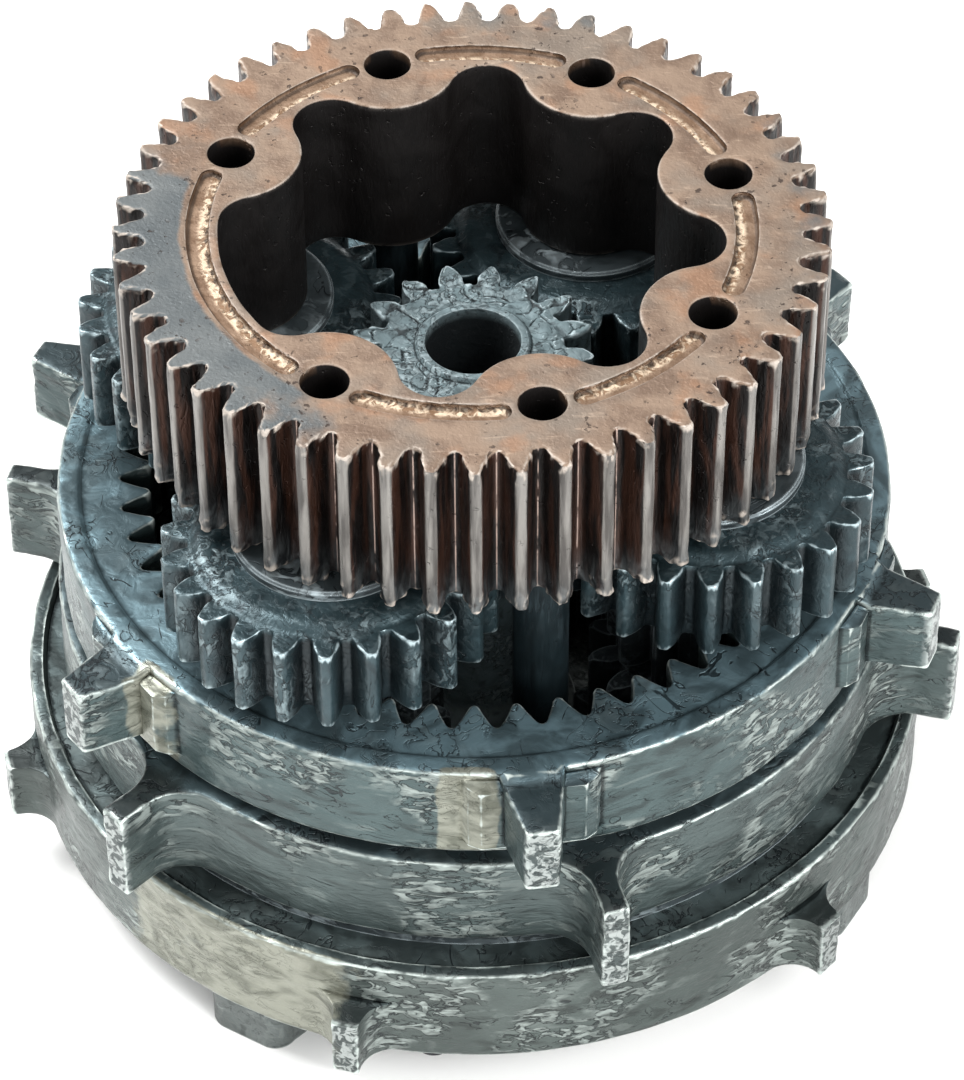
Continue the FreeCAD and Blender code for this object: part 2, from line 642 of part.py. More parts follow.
def base_screws():
    """Cap screws up through the base flange into ring gear 3."""
    head_bottom = FLANGE_UNDERSIDE - SCREW_HEAD_HEIGHT
    tip = BASE_THICKNESS + SCREW_REACH - 0.5
    return Part.makeCompound([
        cap_screw(SCREW_HEAD_RADIUS, head_bottom, FLANGE_UNDERSIDE, tip, polar(SCREW_CIRCLE, angle))
        for angle in BASE_SCREW_ANGLES])


def base_dowels():
    return Part.makeCompound([
        chamfered_disc(DOWEL_RADIUS, FLANGE_UNDERSIDE, BASE_THICKNESS + DOWEL_REACH - 0.3, 0.3,
                       polar(SCREW_CIRCLE, angle))
        for angle in DOWEL_ANGLES])


# ---- all sub-parts ------------------------------------------------------------------------

def main():
    os.makedirs("parts", exist_ok=True)
    export("carrier_gear", carrier_gear())
    export("carrier_plate", carrier_plate())
    export("carrier_screws", carrier_screws())
    for number, angle in enumerate(POST_ANGLES, 1):
        export("carrier_post_%d" % number, carrier_post(angle))
    for number, angle in enumerate(PLANET_ANGLES, 1):
        export("planet_pin_%d" % number, planet_pin(angle))
        export("planet_gear_%d" % number, planet_gear(angle))
        export("planet_cluster_%d" % number, planet_cluster(angle))
        export("planet_bushes_%d" % number, planet_bushes(angle))
        export("planet_washer_%d" % number, planet_washer(angle))
    export("lower_washers", lower_washers())
    export("sun_gear", sun_gear())
    export("sun_clip", sun_clip())
    export("sun_bush", sun_bush())
    export("sun_thrust_washer", sun_thrust_washer())
    export("ring_gear_1", ring_gear_1())
    export("ring_gear_2", ring_gear_2())
    export("ring_gear_3", ring_gear_3())
    export("ring_spacer_upper", ring_spacer(1))
    export("ring_spacer_lower", ring_spacer(2))
    export("base_plate", base_plate())
    export("plate_bearing", plate_bearing())
    export("base_screws", base_screws())
    export("base_dowels", base_dowels())


main()
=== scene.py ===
import json
import math
import bpy
import numpy as np
from mathutils import Matrix, Vector, geometry, kdtree, noise


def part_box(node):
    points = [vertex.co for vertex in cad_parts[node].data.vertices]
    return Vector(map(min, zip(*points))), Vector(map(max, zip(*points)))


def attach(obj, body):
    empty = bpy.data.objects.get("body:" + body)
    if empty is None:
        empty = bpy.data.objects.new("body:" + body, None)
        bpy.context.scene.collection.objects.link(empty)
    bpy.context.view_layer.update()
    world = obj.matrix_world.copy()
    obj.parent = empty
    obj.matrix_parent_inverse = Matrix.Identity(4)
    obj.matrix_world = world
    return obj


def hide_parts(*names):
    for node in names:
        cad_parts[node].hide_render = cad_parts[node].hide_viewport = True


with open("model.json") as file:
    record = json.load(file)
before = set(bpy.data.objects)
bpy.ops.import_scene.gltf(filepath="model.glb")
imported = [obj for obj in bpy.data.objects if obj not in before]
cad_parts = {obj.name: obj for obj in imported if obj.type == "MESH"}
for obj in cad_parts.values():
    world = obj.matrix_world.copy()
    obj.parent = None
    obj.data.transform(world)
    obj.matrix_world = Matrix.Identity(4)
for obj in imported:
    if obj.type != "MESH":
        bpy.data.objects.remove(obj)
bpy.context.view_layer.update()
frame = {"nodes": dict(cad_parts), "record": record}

# A worn three-speed planetary gearbox. The gears and rings that show are rebuilt here as finer
# meshes, with rounded and burred edges and a worked surface, in place of their CAD nodes. The
# meshes are drawn in millimetres and scaled to metres when they are finished.

scene = bpy.context.scene
noise.seed_set(7)
MM = 0.001

# ---- sizes in millimetres, most of them as on the CAD part ----
FLANGE_TEETH = 52
FLANGE_MODULE = 1.5
FLANGE_PRESSURE = 20.0
FLANGE_PHASE = 90.4
FLANGE_THINNING = 0.05
MODULE = 1.56
PRESSURE = 25.0
PHASE = -121.9
THINNING = 0.10
TOOTH_STEPS = 39
UPPER_TEETH = 23
# the planets' teeth are worn shorter by this, here only
TIP_WEAR = 0.35
SUN_TEETH = 16
RING_TEETH = (51, 54, 57)
HOLES = 7
HOLE_STEP = math.radians(360.0 * 5 / TOOTH_STEPS)
FIRST_HOLE = math.radians(PHASE)
CENTRE_DISTANCE = TOOTH_STEPS * MODULE / 2
HOLE_ANGLES = [FIRST_HOLE + HOLE_STEP * k for k in range(HOLES)]
HOLE_RADIUS = 2.7
LOBE_RADIUS = 8.1
RECESS_RADIUS = 28.6
SCALLOP_RADIUS = 4.4
GROOVE_RADIUS = 30.9
GROOVE_WIDTH = 2.6
# 5.2 on the CAD part; the photo's grooves end nearer to the holes
GROOVE_END_GAP = 4.8
# depth below the face and widening there, for the groove's worn edges, here only
GROOVE_PROFILE = ((0.0, 0.15), (0.06, 0.03), (0.3, -0.02), (0.62, -0.1), (0.8, -0.35))
HOLE_EDGE = 0.25
BORE_EDGE = 0.3
LUGS = 6
LUG_ANGLE = (-22.6, -14.5, -45.0)
RING_RADIUS = (49.2, 50.0, 54.5)
LUG_TIP = (57.6, 59.1, 58.9)
LUG_TIP_HALF = (1.9, 1.6, 1.6)
LUG_BEND = (0, 5.6, 4.0)
# ring gear 1's lugs are this far below its face, here only
LUG_DROP = 0.9
LUG_ROOT_HALF = 3.4
LUG_CORNER = 0.35
SHOULDER_OUT = 1.3
SHOULDER_HALF = 7.3
SHOULDER_SLOPE = 1.4
# the step in each ring's top face
STEP_RADIUS = (46.4, 46.5, 52.4)
STEP_DEPTH = (0.3, 0.5, 0.9)
RING_EDGE = 0.45
PLANET_FACE_RADIUS = 15.6
PLANET_FACE_HEIGHT = 0.9
PLANET_BORE = 6.5
SUN_BORE = 5.55
SUN_TEETH_BOTTOM = 52.2
SUN_FACE_DEPTH = 0.5
SUN_RIM = 6.8
SLEEVE_RADIUS = 8.0
CLIP_GROOVE = (9.7, 10.8, 7.4)


def levels(node):
    """Lowest and highest level of a CAD node, in millimetres."""
    low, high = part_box(node)
    return low[2] / MM, high[2] / MM


# ---- outlines, as arrays of (x, y) in millimetres ----
def polar(radius, angle):
    return np.stack([radius * np.cos(angle), radius * np.sin(angle)], axis=-1)


def circle(radius, count, centre=(0, 0)):
    return polar(radius, np.arange(count) * 2 * math.pi / count) + np.array(centre)


def involute(angle):
    return math.tan(angle) - angle


def tooth_outline(teeth, module, pressure, tip, root, thinning, phase, corner=0.25, fillet=0.4):
    """Outline of a gear with rounded tip corners and root fillets."""
    pressure = math.radians(pressure)
    pitch = module * teeth / 2
    base = pitch * math.cos(pressure)
    pitch_half = math.pi / 2 / teeth - thinning / pitch
    foot = max(base, root)

    def half_angle(radius):
        local = math.acos(min(1.0, base / max(radius, foot)))
        return pitch_half + involute(pressure) - involute(local)

    # half a tooth as (radius, angle), from the middle of the gap to the corner of the tip
    half = [(root, math.pi / teeth), (root, half_angle(foot) + fillet / root),
            (root + 0.3 * fillet, half_angle(foot) + 0.3 * fillet / root)]
    for radius in np.linspace(root + fillet, tip - corner, 6):
        half.append((radius, half_angle(radius)))
    half.append((tip - 0.3 * corner, half_angle(tip) - 0.3 * corner / tip))
    half.append((tip, half_angle(tip) - corner / tip))
    right = [(radius, -angle) for radius, angle in half]
    left = [(radius, angle) for radius, angle in reversed(half[1:])]
    tooth = np.array(right + [(tip, 0.0)] + left)
    turns = math.radians(phase) + 2 * math.pi * np.arange(teeth) / teeth
    angles = (turns[:, None] + tooth[None, :, 1]).ravel()
    return polar(np.tile(tooth[:, 0], teeth), angles)


def inner_teeth(teeth, wear=0.0):
    pitch = MODULE * teeth / 2
    return tooth_outline(teeth, MODULE, PRESSURE, pitch + MODULE - wear, pitch - 1.25 * MODULE,
                         THINNING, PHASE, 0.2)


def ring_opening(teeth):
    pitch = MODULE * teeth / 2
    return tooth_outline(teeth, MODULE, PRESSURE, pitch + 1.25 * MODULE, pitch - MODULE,
                         -THINNING, PHASE)


def sweep(centre, radius, start, end, count=None):
    """Points along an arc, without its last point, about 0.55 mm apart if no count is given."""
    if count is None:
        count = max(2, round(abs(end - start) * radius / 0.55))
    return polar(radius, np.linspace(start, end, count + 1)[:-1]) + centre


def bore_outline():
    """Scalloped bore: a lobe round each hole, a pocket between lobes, one wide recess."""
    half = HOLE_STEP / 2
    pocket_distance = RECESS_RADIUS - SCALLOP_RADIUS
    across = pocket_distance * math.sin(half)
    lobe_turn = math.atan2(across, pocket_distance * math.cos(half) - CENTRE_DISTANCE)
    pocket_turn = math.atan2(CENTRE_DISTANCE * math.sin(half),
                             CENTRE_DISTANCE * math.cos(half) - pocket_distance)
    parts = []
    for index, angle in enumerate(HOLE_ANGLES):
        lobe = polar(CENTRE_DISTANCE, angle)
        parts.append(sweep(lobe, LOBE_RADIUS, angle + 2 * math.pi - lobe_turn, angle + lobe_turn))
        middle = angle + half
        pocket = polar(pocket_distance, middle)
        start = middle - pocket_turn
        if index < HOLES - 1:
            parts.append(sweep(pocket, SCALLOP_RADIUS, start, middle + pocket_turn))
            continue
        last = HOLE_ANGLES[0] + 2 * math.pi - half
        parts.append(sweep(pocket, SCALLOP_RADIUS, start, middle))
        parts.append(sweep(np.zeros(2), RECESS_RADIUS, middle, last))
        parts.append(sweep(polar(pocket_distance, last), SCALLOP_RADIUS, last, last + pocket_turn))
    return np.concatenate(parts)


def groove_outline(start, end, half):
    """Round-ended arc groove between two angles."""
    along = round((end - start) * GROOVE_RADIUS / 0.4)
    turn = math.pi
    return np.concatenate([
        sweep(np.zeros(2), GROOVE_RADIUS + half, start, end, along),
        sweep(polar(GROOVE_RADIUS, end), half, end, end + turn, 9),
        sweep(np.zeros(2), GROOVE_RADIUS - half, end, start, along),
        sweep(polar(GROOVE_RADIUS, start), half, start + turn, start + 2 * turn, 9)])


def inset(loop, depth):
    """Loop moved inwards by depth, or outwards where depth is negative."""
    along = np.roll(loop, -1, axis=0) - np.roll(loop, 1, axis=0)
    along /= np.linalg.norm(along, axis=1)[:, None]
    return loop - depth * np.stack([along[:, 1], -along[:, 0]], axis=1)


def within(points, loops):
    """Which points lie inside the first loop and outside the others, by counting crossings."""
    crossings = np.zeros(len(points), dtype=int)
    for loop in loops:
        x1, y1 = loop.T
        x2, y2 = np.roll(loop, -1, axis=0).T
        slope = (x2 - x1) / np.where(y2 == y1, 1e-12, y2 - y1)
        for start in range(0, len(points), 4000):
            x, y = points[start:start + 4000].T[:, :, None]
            passed = ((y1 > y) != (y2 > y)) & (x < x1 + (y - y1) * slope)
            crossings[start:start + 4000] += passed.sum(axis=1)
    return crossings % 2 == 1


def steps(low, high, spacing, edge=0.35):
    """Levels from low to high, with close ones at both ends for the edge rounding."""
    count = max(2, round((high - low - 2 * edge) / spacing))
    middle = np.linspace(low + edge, high - edge, count + 1)
    return np.concatenate([[low, low + 0.3 * edge], middle, [high - 0.3 * edge, high]])


def rounding(level, low, high, edge=0.35):
    """How far an edge of that radius is rounded back at a level."""
    near = min(level - low, high - level)
    if near >= edge:
        return 0.0
    return edge - math.sqrt(max(0.0, edge * edge - (edge - near) ** 2))


# ---- mesh builder ----
class Shell:
    """Collects walls and caps in millimetres and makes one closed, worked mesh of them."""

    def __init__(self, seed):
        self.points = []
        self.faces = []
        self.count = 0
        self.random = np.random.default_rng(seed)

    def add(self, points, faces, flip=False):
        faces = np.asarray(faces) + self.count
        if faces.shape[1] == 4:
            faces = np.concatenate([faces[:, [0, 1, 2]], faces[:, [0, 2, 3]]])
        if flip:
            faces = faces[:, ::-1]
        self.points.append(points)
        self.faces.append(faces)
        self.count += len(points)

    def wall(self, loops, inward=False):
        """Closed wall through loops of 3-D points, lowest loop first for a wall facing out."""
        loops = np.asarray(loops)
        rows, columns = loops.shape[:2]
        here = np.arange(columns)
        after = np.roll(here, -1)
        faces = []
        for row in range(rows - 1):
            low = row * columns
            high = low + columns
            faces.append(np.stack([low + here, low + after, high + after, high + here], axis=1))
        self.add(loops.reshape(-1, 3), np.concatenate(faces), flip=inward)

    def straight(self, loop, low, high, spacing, inward=False, edge=0.35):
        """Upright wall over one outline, with rounded ends. Returns its bottom and top loops."""
        side = -1 if inward else 1
        loops = []
        for level in steps(low, high, spacing, edge):
            loops.append(at_level(inset(loop, side * rounding(level, low, high, edge)), level))
        self.wall(loops, inward)
        return loops[0][:, :2], loops[-1][:, :2]

    def cap(self, loops, height, spacing, down=False):
        """Fills the region inside the first loop and outside the others at a height."""
        edges = []
        start = 0
        for loop in loops:
            here = start + np.arange(len(loop))
            edges += list(zip(here.tolist(), np.roll(here, -1).tolist()))
            start += len(loop)
        border = np.concatenate(loops)
        tree = kdtree.KDTree(len(border))
        for index, (x, y) in enumerate(border):
            tree.insert((x, y, 0), index)
        tree.balance()
        low = border.min(axis=0)
        high = border.max(axis=0)
        x, y = np.meshgrid(np.arange(low[0], high[0], spacing),
                           np.arange(low[1], high[1], 0.87 * spacing))
        x[1::2] += spacing / 2
        grid = np.stack([x.ravel(), y.ravel()], axis=1)
        grid += self.random.uniform(-0.15, 0.15, grid.shape) * spacing
        grid = grid[within(grid, loops)]
        grid = [p for p in grid if tree.find((p[0], p[1], 0))[2] > 0.6 * spacing]
        flat = [Vector(p) for p in border] + [Vector(p) for p in grid]
        result = geometry.delaunay_2d_cdt(flat, edges, [], 2, 1e-5)
        points = np.array([(p.x, p.y) for p in result[0]])
        faces = np.array(result[2])
        faces = faces[within(points[faces].mean(axis=1), loops)]
        self.add(at_level(points, height), faces, flip=down)

    def welded(self):
        points = np.concatenate(self.points)
        faces = np.concatenate(self.faces)
        keys = np.round(points, 3)
        _, first, same = np.unique(keys, axis=0, return_index=True, return_inverse=True)
        faces = same.ravel()[faces]
        real = (faces[:, 0] != faces[:, 1]) & (faces[:, 1] != faces[:, 2])
        real &= faces[:, 0] != faces[:, 2]
        faces = faces[real]
        used = np.unique(faces)
        place = np.zeros(len(first), dtype=int)
        place[used] = np.arange(len(used))
        return points[first][used], place[faces]

    def build(self, name, node, material, worked, masks=None, centre=(0, 0)):
        """Makes the object in place of a CAD node, riding the node's body.

        worked gives how far each point is moved along its normal, in millimetres, and masks
        maps attribute names to functions of the points.
        """
        points, faces = self.welded()
        normals = vertex_normals(points, faces)
        points = points + normals * worked(points, normals)[:, None]
        masks = {key: mask(points) for key, mask in (masks or {}).items()}
        masks["convex"] = convexity(points, faces)
        points = points + np.array([centre[0], centre[1], 0.0])
        mesh = bpy.data.meshes.new(name)
        mesh.from_pydata((points * MM).tolist(), [], faces.tolist())
        for key, values in masks.items():
            layer = mesh.attributes.new(key, "FLOAT", "POINT")
            layer.data.foreach_set("value", limited(values).astype(np.float32))
        mesh.polygons.foreach_set("use_smooth", [True] * len(mesh.polygons))
        mesh.set_sharp_from_angle(angle=math.radians(50))
        mesh.materials.append(material)
        piece = bpy.data.objects.new(name, mesh)
        scene.collection.objects.link(piece)
        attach(piece, BODY_OF[node])
        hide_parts(node)
        return piece


def limited(value):
    return np.clip(value, 0, 1)


def radius_of(points):
    return np.hypot(points[:, 0], points[:, 1])


def at_level(loop, level):
    return np.column_stack([loop, np.full(len(loop), level)])


def vertex_normals(points, faces):
    across = np.cross(points[faces[:, 1]] - points[faces[:, 0]],
                      points[faces[:, 2]] - points[faces[:, 0]])
    normals = np.zeros_like(points)
    for corner in range(3):
        np.add.at(normals, faces[:, corner], across)
    return normals / np.maximum(np.linalg.norm(normals, axis=1), 1e-9)[:, None]


def convexity(points, faces):
    """0.5 on flat ground, towards 1 on ridges and edges, towards 0 in hollows."""
    normals = vertex_normals(points, faces)
    total = np.zeros(len(points))
    count = np.zeros(len(points))
    for first, second in ((0, 1), (1, 2), (2, 0)):
        a = faces[:, first]
        b = faces[:, second]
        step = points[a] - points[b]
        reach = np.maximum(np.linalg.norm(step, axis=1), 1e-6)
        np.add.at(total, a, (normals[a] * step).sum(axis=1) / reach)
        np.add.at(count, a, 1)
        np.add.at(total, b, -(normals[b] * step).sum(axis=1) / reach)
        np.add.at(count, b, 1)
    return 0.5 + total / np.maximum(count, 1)


def fractal(points, size, octaves=3, seed=0.0):
    """Fractal noise round 0 whose largest lumps are about size millimetres wide."""
    shift = Vector((seed * 17.3, seed * 5.1, seed * 9.7))
    return np.array([noise.fractal(Vector(p) / size + shift, 1.0, 2.0, octaves) for p in points])


def ridged(points, size, seed=0.0):
    """Noise from 0 to 1 with sharp creases between rounded flakes of that size."""
    shift = Vector((seed * 3.1, seed * 7.7, seed * 1.3))
    result = []
    for p in points:
        place = Vector(p) / size + shift
        near = noise.voronoi(place + 0.7 * noise.noise_vector(place * 0.9))[0]
        result.append(min(1.0, near[1] - near[0]))
    return np.array(result)


BODY_OF = {node: body for body, nodes in frame["record"]["behaviour"]["bodies"].items()
           for node in nodes}

# ---- node materials, with every colour as linear red, green and blue ----
CRACK_BLACK = (0.006, 0.009, 0.011)
# near black of the painted shade in hollows
HOLLOW_SHADE = (0.006, 0.008, 0.009)
COPPER_DARK = (0.138, 0.090, 0.062)
COPPER_LIGHT = (0.220, 0.155, 0.110)
COPPER_HAZE = (0.165, 0.140, 0.115)
COPPER_RUST = (0.27, 0.135, 0.07)
COPPER_SCRATCH = (0.42, 0.32, 0.24)
COPPER_PIT = (0.03, 0.017, 0.012)
COPPER_EDGE = (0.44, 0.385, 0.335)
# near black of the painted shade in the flange's hollows
COPPER_HOLLOW_SHADE = (0.012, 0.007, 0.005)
BAND_DARK = (0.068, 0.078, 0.082)
BAND_LIGHT = (0.102, 0.111, 0.112)
LAND_DARK = (0.050, 0.045, 0.041)
LAND_LIGHT = (0.185, 0.175, 0.162)
GREASE_DARK = (0.0030, 0.0019, 0.0017)
GREASE_BROWN = (0.042, 0.017, 0.010)
ROOT_RUBBED = (0.38, 0.28, 0.24)
OIL_DARK = (0.02, 0.025, 0.028)
OIL_LIGHT = (0.12, 0.135, 0.14)
# near black of the painted shade in the bores
BORE_SHADE = (0.013, 0.011, 0.0105)
GOLD_DARK = (0.19, 0.11, 0.06)
GOLD_LIGHT = (0.56, 0.44, 0.32)
CHANNEL_DARK = (0.13, 0.075, 0.042)
CHANNEL_LIGHT = (0.22, 0.145, 0.095)
RING_MIDDLE = (0.041, 0.062, 0.063)
RING_LIGHT = (0.290, 0.330, 0.312)
TAN_DARK = (0.100, 0.104, 0.078)
TAN_LIGHT = (0.245, 0.250, 0.205)
TIP_DARK = (0.035, 0.045, 0.045)
TIP_LIGHT = (0.36, 0.39, 0.38)


class Paint:
    """One node material. Each method adds a node and returns its output socket."""

    def __init__(self, name, metallic):
        self.material = bpy.data.materials.new(name)
        self.material.use_nodes = True
        self.nodes = self.material.node_tree.nodes
        self.links = self.material.node_tree.links
        self.shader = self.nodes["Principled BSDF"]
        self.shader.inputs["Metallic"].default_value = metallic
        self.place = self.nodes.new("ShaderNodeTexCoord").outputs["Object"]

    def darker_gloss(self, amount):
        """Makes the paint fully metallic where amount is 1, so dark places mirror less light."""
        socket = self.shader.inputs["Metallic"]
        extra = self.times(amount, 1.0 - socket.default_value)
        self.feed(socket, self.plus(extra, socket.default_value))

    def feed(self, socket, value):
        if isinstance(value, bpy.types.NodeSocket):
            self.links.new(value, socket)
        else:
            socket.default_value = value

    def noise(self, size, detail=4.0, stretch=(1, 1, 1), warp=0.0, seed=0.0):
        """Noise from 0 to 1 with lumps of that size in millimetres, stretched along the axes."""
        shift = self.nodes.new("ShaderNodeMapping")
        self.feed(shift.inputs["Vector"], self.place)
        self.feed(shift.inputs["Location"], (seed, 0.37 * seed, 0.61 * seed))
        self.feed(shift.inputs["Scale"], [1 / (MM * size * s) for s in stretch])
        node = self.nodes.new("ShaderNodeTexNoise")
        self.feed(node.inputs["Vector"], shift.outputs[0])
        self.feed(node.inputs["Scale"], 1.0)
        self.feed(node.inputs["Detail"], detail)
        self.feed(node.inputs["Distortion"], warp)
        return node.outputs["Fac"]

    def times(self, first, second):
        return self.maths("MULTIPLY", first, second)

    def plus(self, first, second):
        return self.maths("ADD", first, second)

    def minus(self, first, second):
        return self.maths("SUBTRACT", first, second)

    def ramp(self, value, low, high):
        """Smooth rise from 0 at low to 1 at high; it falls where low is above high."""
        node = self.nodes.new("ShaderNodeMapRange")
        node.interpolation_type = "SMOOTHSTEP"
        self.feed(node.inputs["Value"], value)
        if low > high:
            low, high = high, low
            self.feed(node.inputs["To Min"], 1.0)
            self.feed(node.inputs["To Max"], 0.0)
        self.feed(node.inputs["From Min"], low)
        self.feed(node.inputs["From Max"], high)
        return node.outputs["Result"]

    def maths(self, operation, first, second=0.0):
        node = self.nodes.new("ShaderNodeMath")
        node.operation = operation
        self.feed(node.inputs[0], first)
        self.feed(node.inputs[1], second)
        return node.outputs[0]

    def blend(self, amount, first, second):
        """Colour that goes from first to second as amount goes from 0 to 1."""
        node = self.nodes.new("ShaderNodeMix")
        node.data_type = "RGBA"
        self.feed(node.inputs[0], amount)
        self.feed(node.inputs[6], tone(first))
        self.feed(node.inputs[7], tone(second))
        return node.outputs[2]

    def mask(self, name):
        node = self.nodes.new("ShaderNodeAttribute")
        node.attribute_name = name
        return node.outputs["Fac"]

    def facing_up(self):
        """Upward part of the normal, from -1 to 1."""
        geometry_node = self.nodes.new("ShaderNodeNewGeometry")
        split = self.nodes.new("ShaderNodeSeparateXYZ")
        self.feed(split.inputs[0], geometry_node.outputs["Normal"])
        return split.outputs["Z"]

    def cad_edges(self, radius):
        """Edge mask of a CAD mesh: how far a rounded normal turns from the true one."""
        bevel = self.nodes.new("ShaderNodeBevel")
        bevel.samples = 4
        self.feed(bevel.inputs["Radius"], radius * MM)
        geometry_node = self.nodes.new("ShaderNodeNewGeometry")
        dot = self.nodes.new("ShaderNodeVectorMath")
        dot.operation = "DOT_PRODUCT"
        self.feed(dot.inputs[0], bevel.outputs[0])
        self.feed(dot.inputs[1], geometry_node.outputs["Normal"])
        return self.ramp(dot.outputs["Value"], 0.99, 0.85)

    def finish(self, colour, rough, height, depth):
        """Links colour, roughness and a bump of that depth in millimetres."""
        self.feed(self.shader.inputs["Base Color"], colour)
        self.feed(self.shader.inputs["Roughness"], rough)
        bump = self.nodes.new("ShaderNodeBump")
        self.feed(bump.inputs["Strength"], 1.0)
        self.feed(bump.inputs["Distance"], depth * MM)
        self.feed(bump.inputs["Height"], height)
        self.feed(self.shader.inputs["Normal"], bump.outputs[0])
        return self.material


def scaled(colour, factor):
    return tuple(factor * c for c in colour)


def tone(value):
    """A colour socket as it is, or (red, green, blue) with its alpha."""
    if isinstance(value, tuple) and len(value) == 3:
        return value + (1.0,)
    return value


def worn_steel(name, dark, middle, light, streaks=(1, 1, 1), patch=8.0, meshed=True, seed=0.0,
               shine=0.42, metallic=0.55, scuffs=0.8, relief=0.12, extra=None, film=None):
    """Oily worn steel: smeared patches, scuffed flaky zones, dark cracks, painted shade in
    hollows, and bright rubbed edges, partly a painted highlight on the raised relief of meshed
    pieces.

    extra paints over the scuffs, under the cracks, and film paints over both, under the edges.
    """
    paint = Paint(name, metallic)
    tone_noise = paint.noise(patch, 3.0, warp=0.5, seed=seed)
    colour = paint.blend(paint.ramp(tone_noise, 0.38, 0.62), middle, scaled(middle, 1.35))
    smear = paint.noise(2.2, 5.0, streaks, 0.6, seed + 3)
    colour = paint.blend(paint.times(paint.ramp(smear, 0.54, 0.68), 0.6), colour, dark)
    colour = paint.blend(paint.times(paint.ramp(smear, 0.42, 0.34), 0.18), colour, light)
    zones = paint.ramp(paint.noise(11.0, 5.0, warp=0.4, seed=seed + 11), 0.47, 0.60)
    flakes = paint.noise(1.2, 8.0, tuple(0.4 + 0.6 * s for s in streaks), 1.1, seed + 7)
    scuff = paint.times(paint.ramp(flakes, 0.46, 0.60), zones)
    grit = paint.ramp(paint.noise(0.6, 4.0, streaks, 0.5, seed + 8), 0.38, 0.62)
    lit = paint.blend(grit, scaled(light, 0.55), scaled(light, 1.15))
    colour = paint.blend(paint.times(scuff, scuffs), colour, lit)
    if extra is not None:
        colour = extra(paint, colour)
    ridge = paint.maths("ABSOLUTE", paint.minus(flakes, 0.49))
    crack = paint.times(paint.ramp(ridge, 0.026, 0.008), zones)
    long_lines = paint.noise(5.0, 3.0, streaks, 2.5, seed + 5)
    line = paint.maths("ABSOLUTE", paint.minus(long_lines, 0.5))
    gaps = paint.ramp(paint.noise(4.0, 2.0, seed=seed + 6), 0.5, 0.56)
    line = paint.times(paint.ramp(line, 0.009, 0.003), gaps)
    crack = paint.maths("MAXIMUM", crack, line)
    colour = paint.blend(paint.times(crack, 0.8), colour, CRACK_BLACK)
    if meshed:
        convex = paint.mask("convex")
        # painted shade: hollows and creases are darkened towards near black and made more
        # metallic, so that they mirror less light
        hollow_shade = paint.times(paint.ramp(convex, 0.44, 0.28), 0.7)
        colour = paint.blend(hollow_shade, colour, HOLLOW_SHADE)
        edge = paint.ramp(convex, 0.60, 0.72)
        paint.darker_gloss(hollow_shade)
    else:
        edge = paint.cad_edges(0.45)
    if film is not None:
        colour = film(paint, colour)
    # bright rubbed edges; on meshed pieces the convex mask also takes in raised relief, and there
    # the brightening is partly a painted highlight
    patchy = paint.ramp(paint.noise(3.0, 4.0, seed=seed + 9), 0.3, 0.5)
    rubbed = paint.times(edge, patchy)
    bright = tuple(min(0.8, 1.5 * c + 0.05) for c in light)
    colour = paint.blend(rubbed, colour, bright)
    rough = paint.plus(paint.times(flakes, 0.3), shine - 0.15)
    fine = paint.noise(0.35, 3.0, streaks, 0.0, seed + 2)
    height = paint.plus(paint.times(flakes, 0.9),
                        paint.times(fine, 0.15))
    height = paint.minus(height, paint.times(crack, 0.6))
    return paint.finish(colour, rough, height, relief)


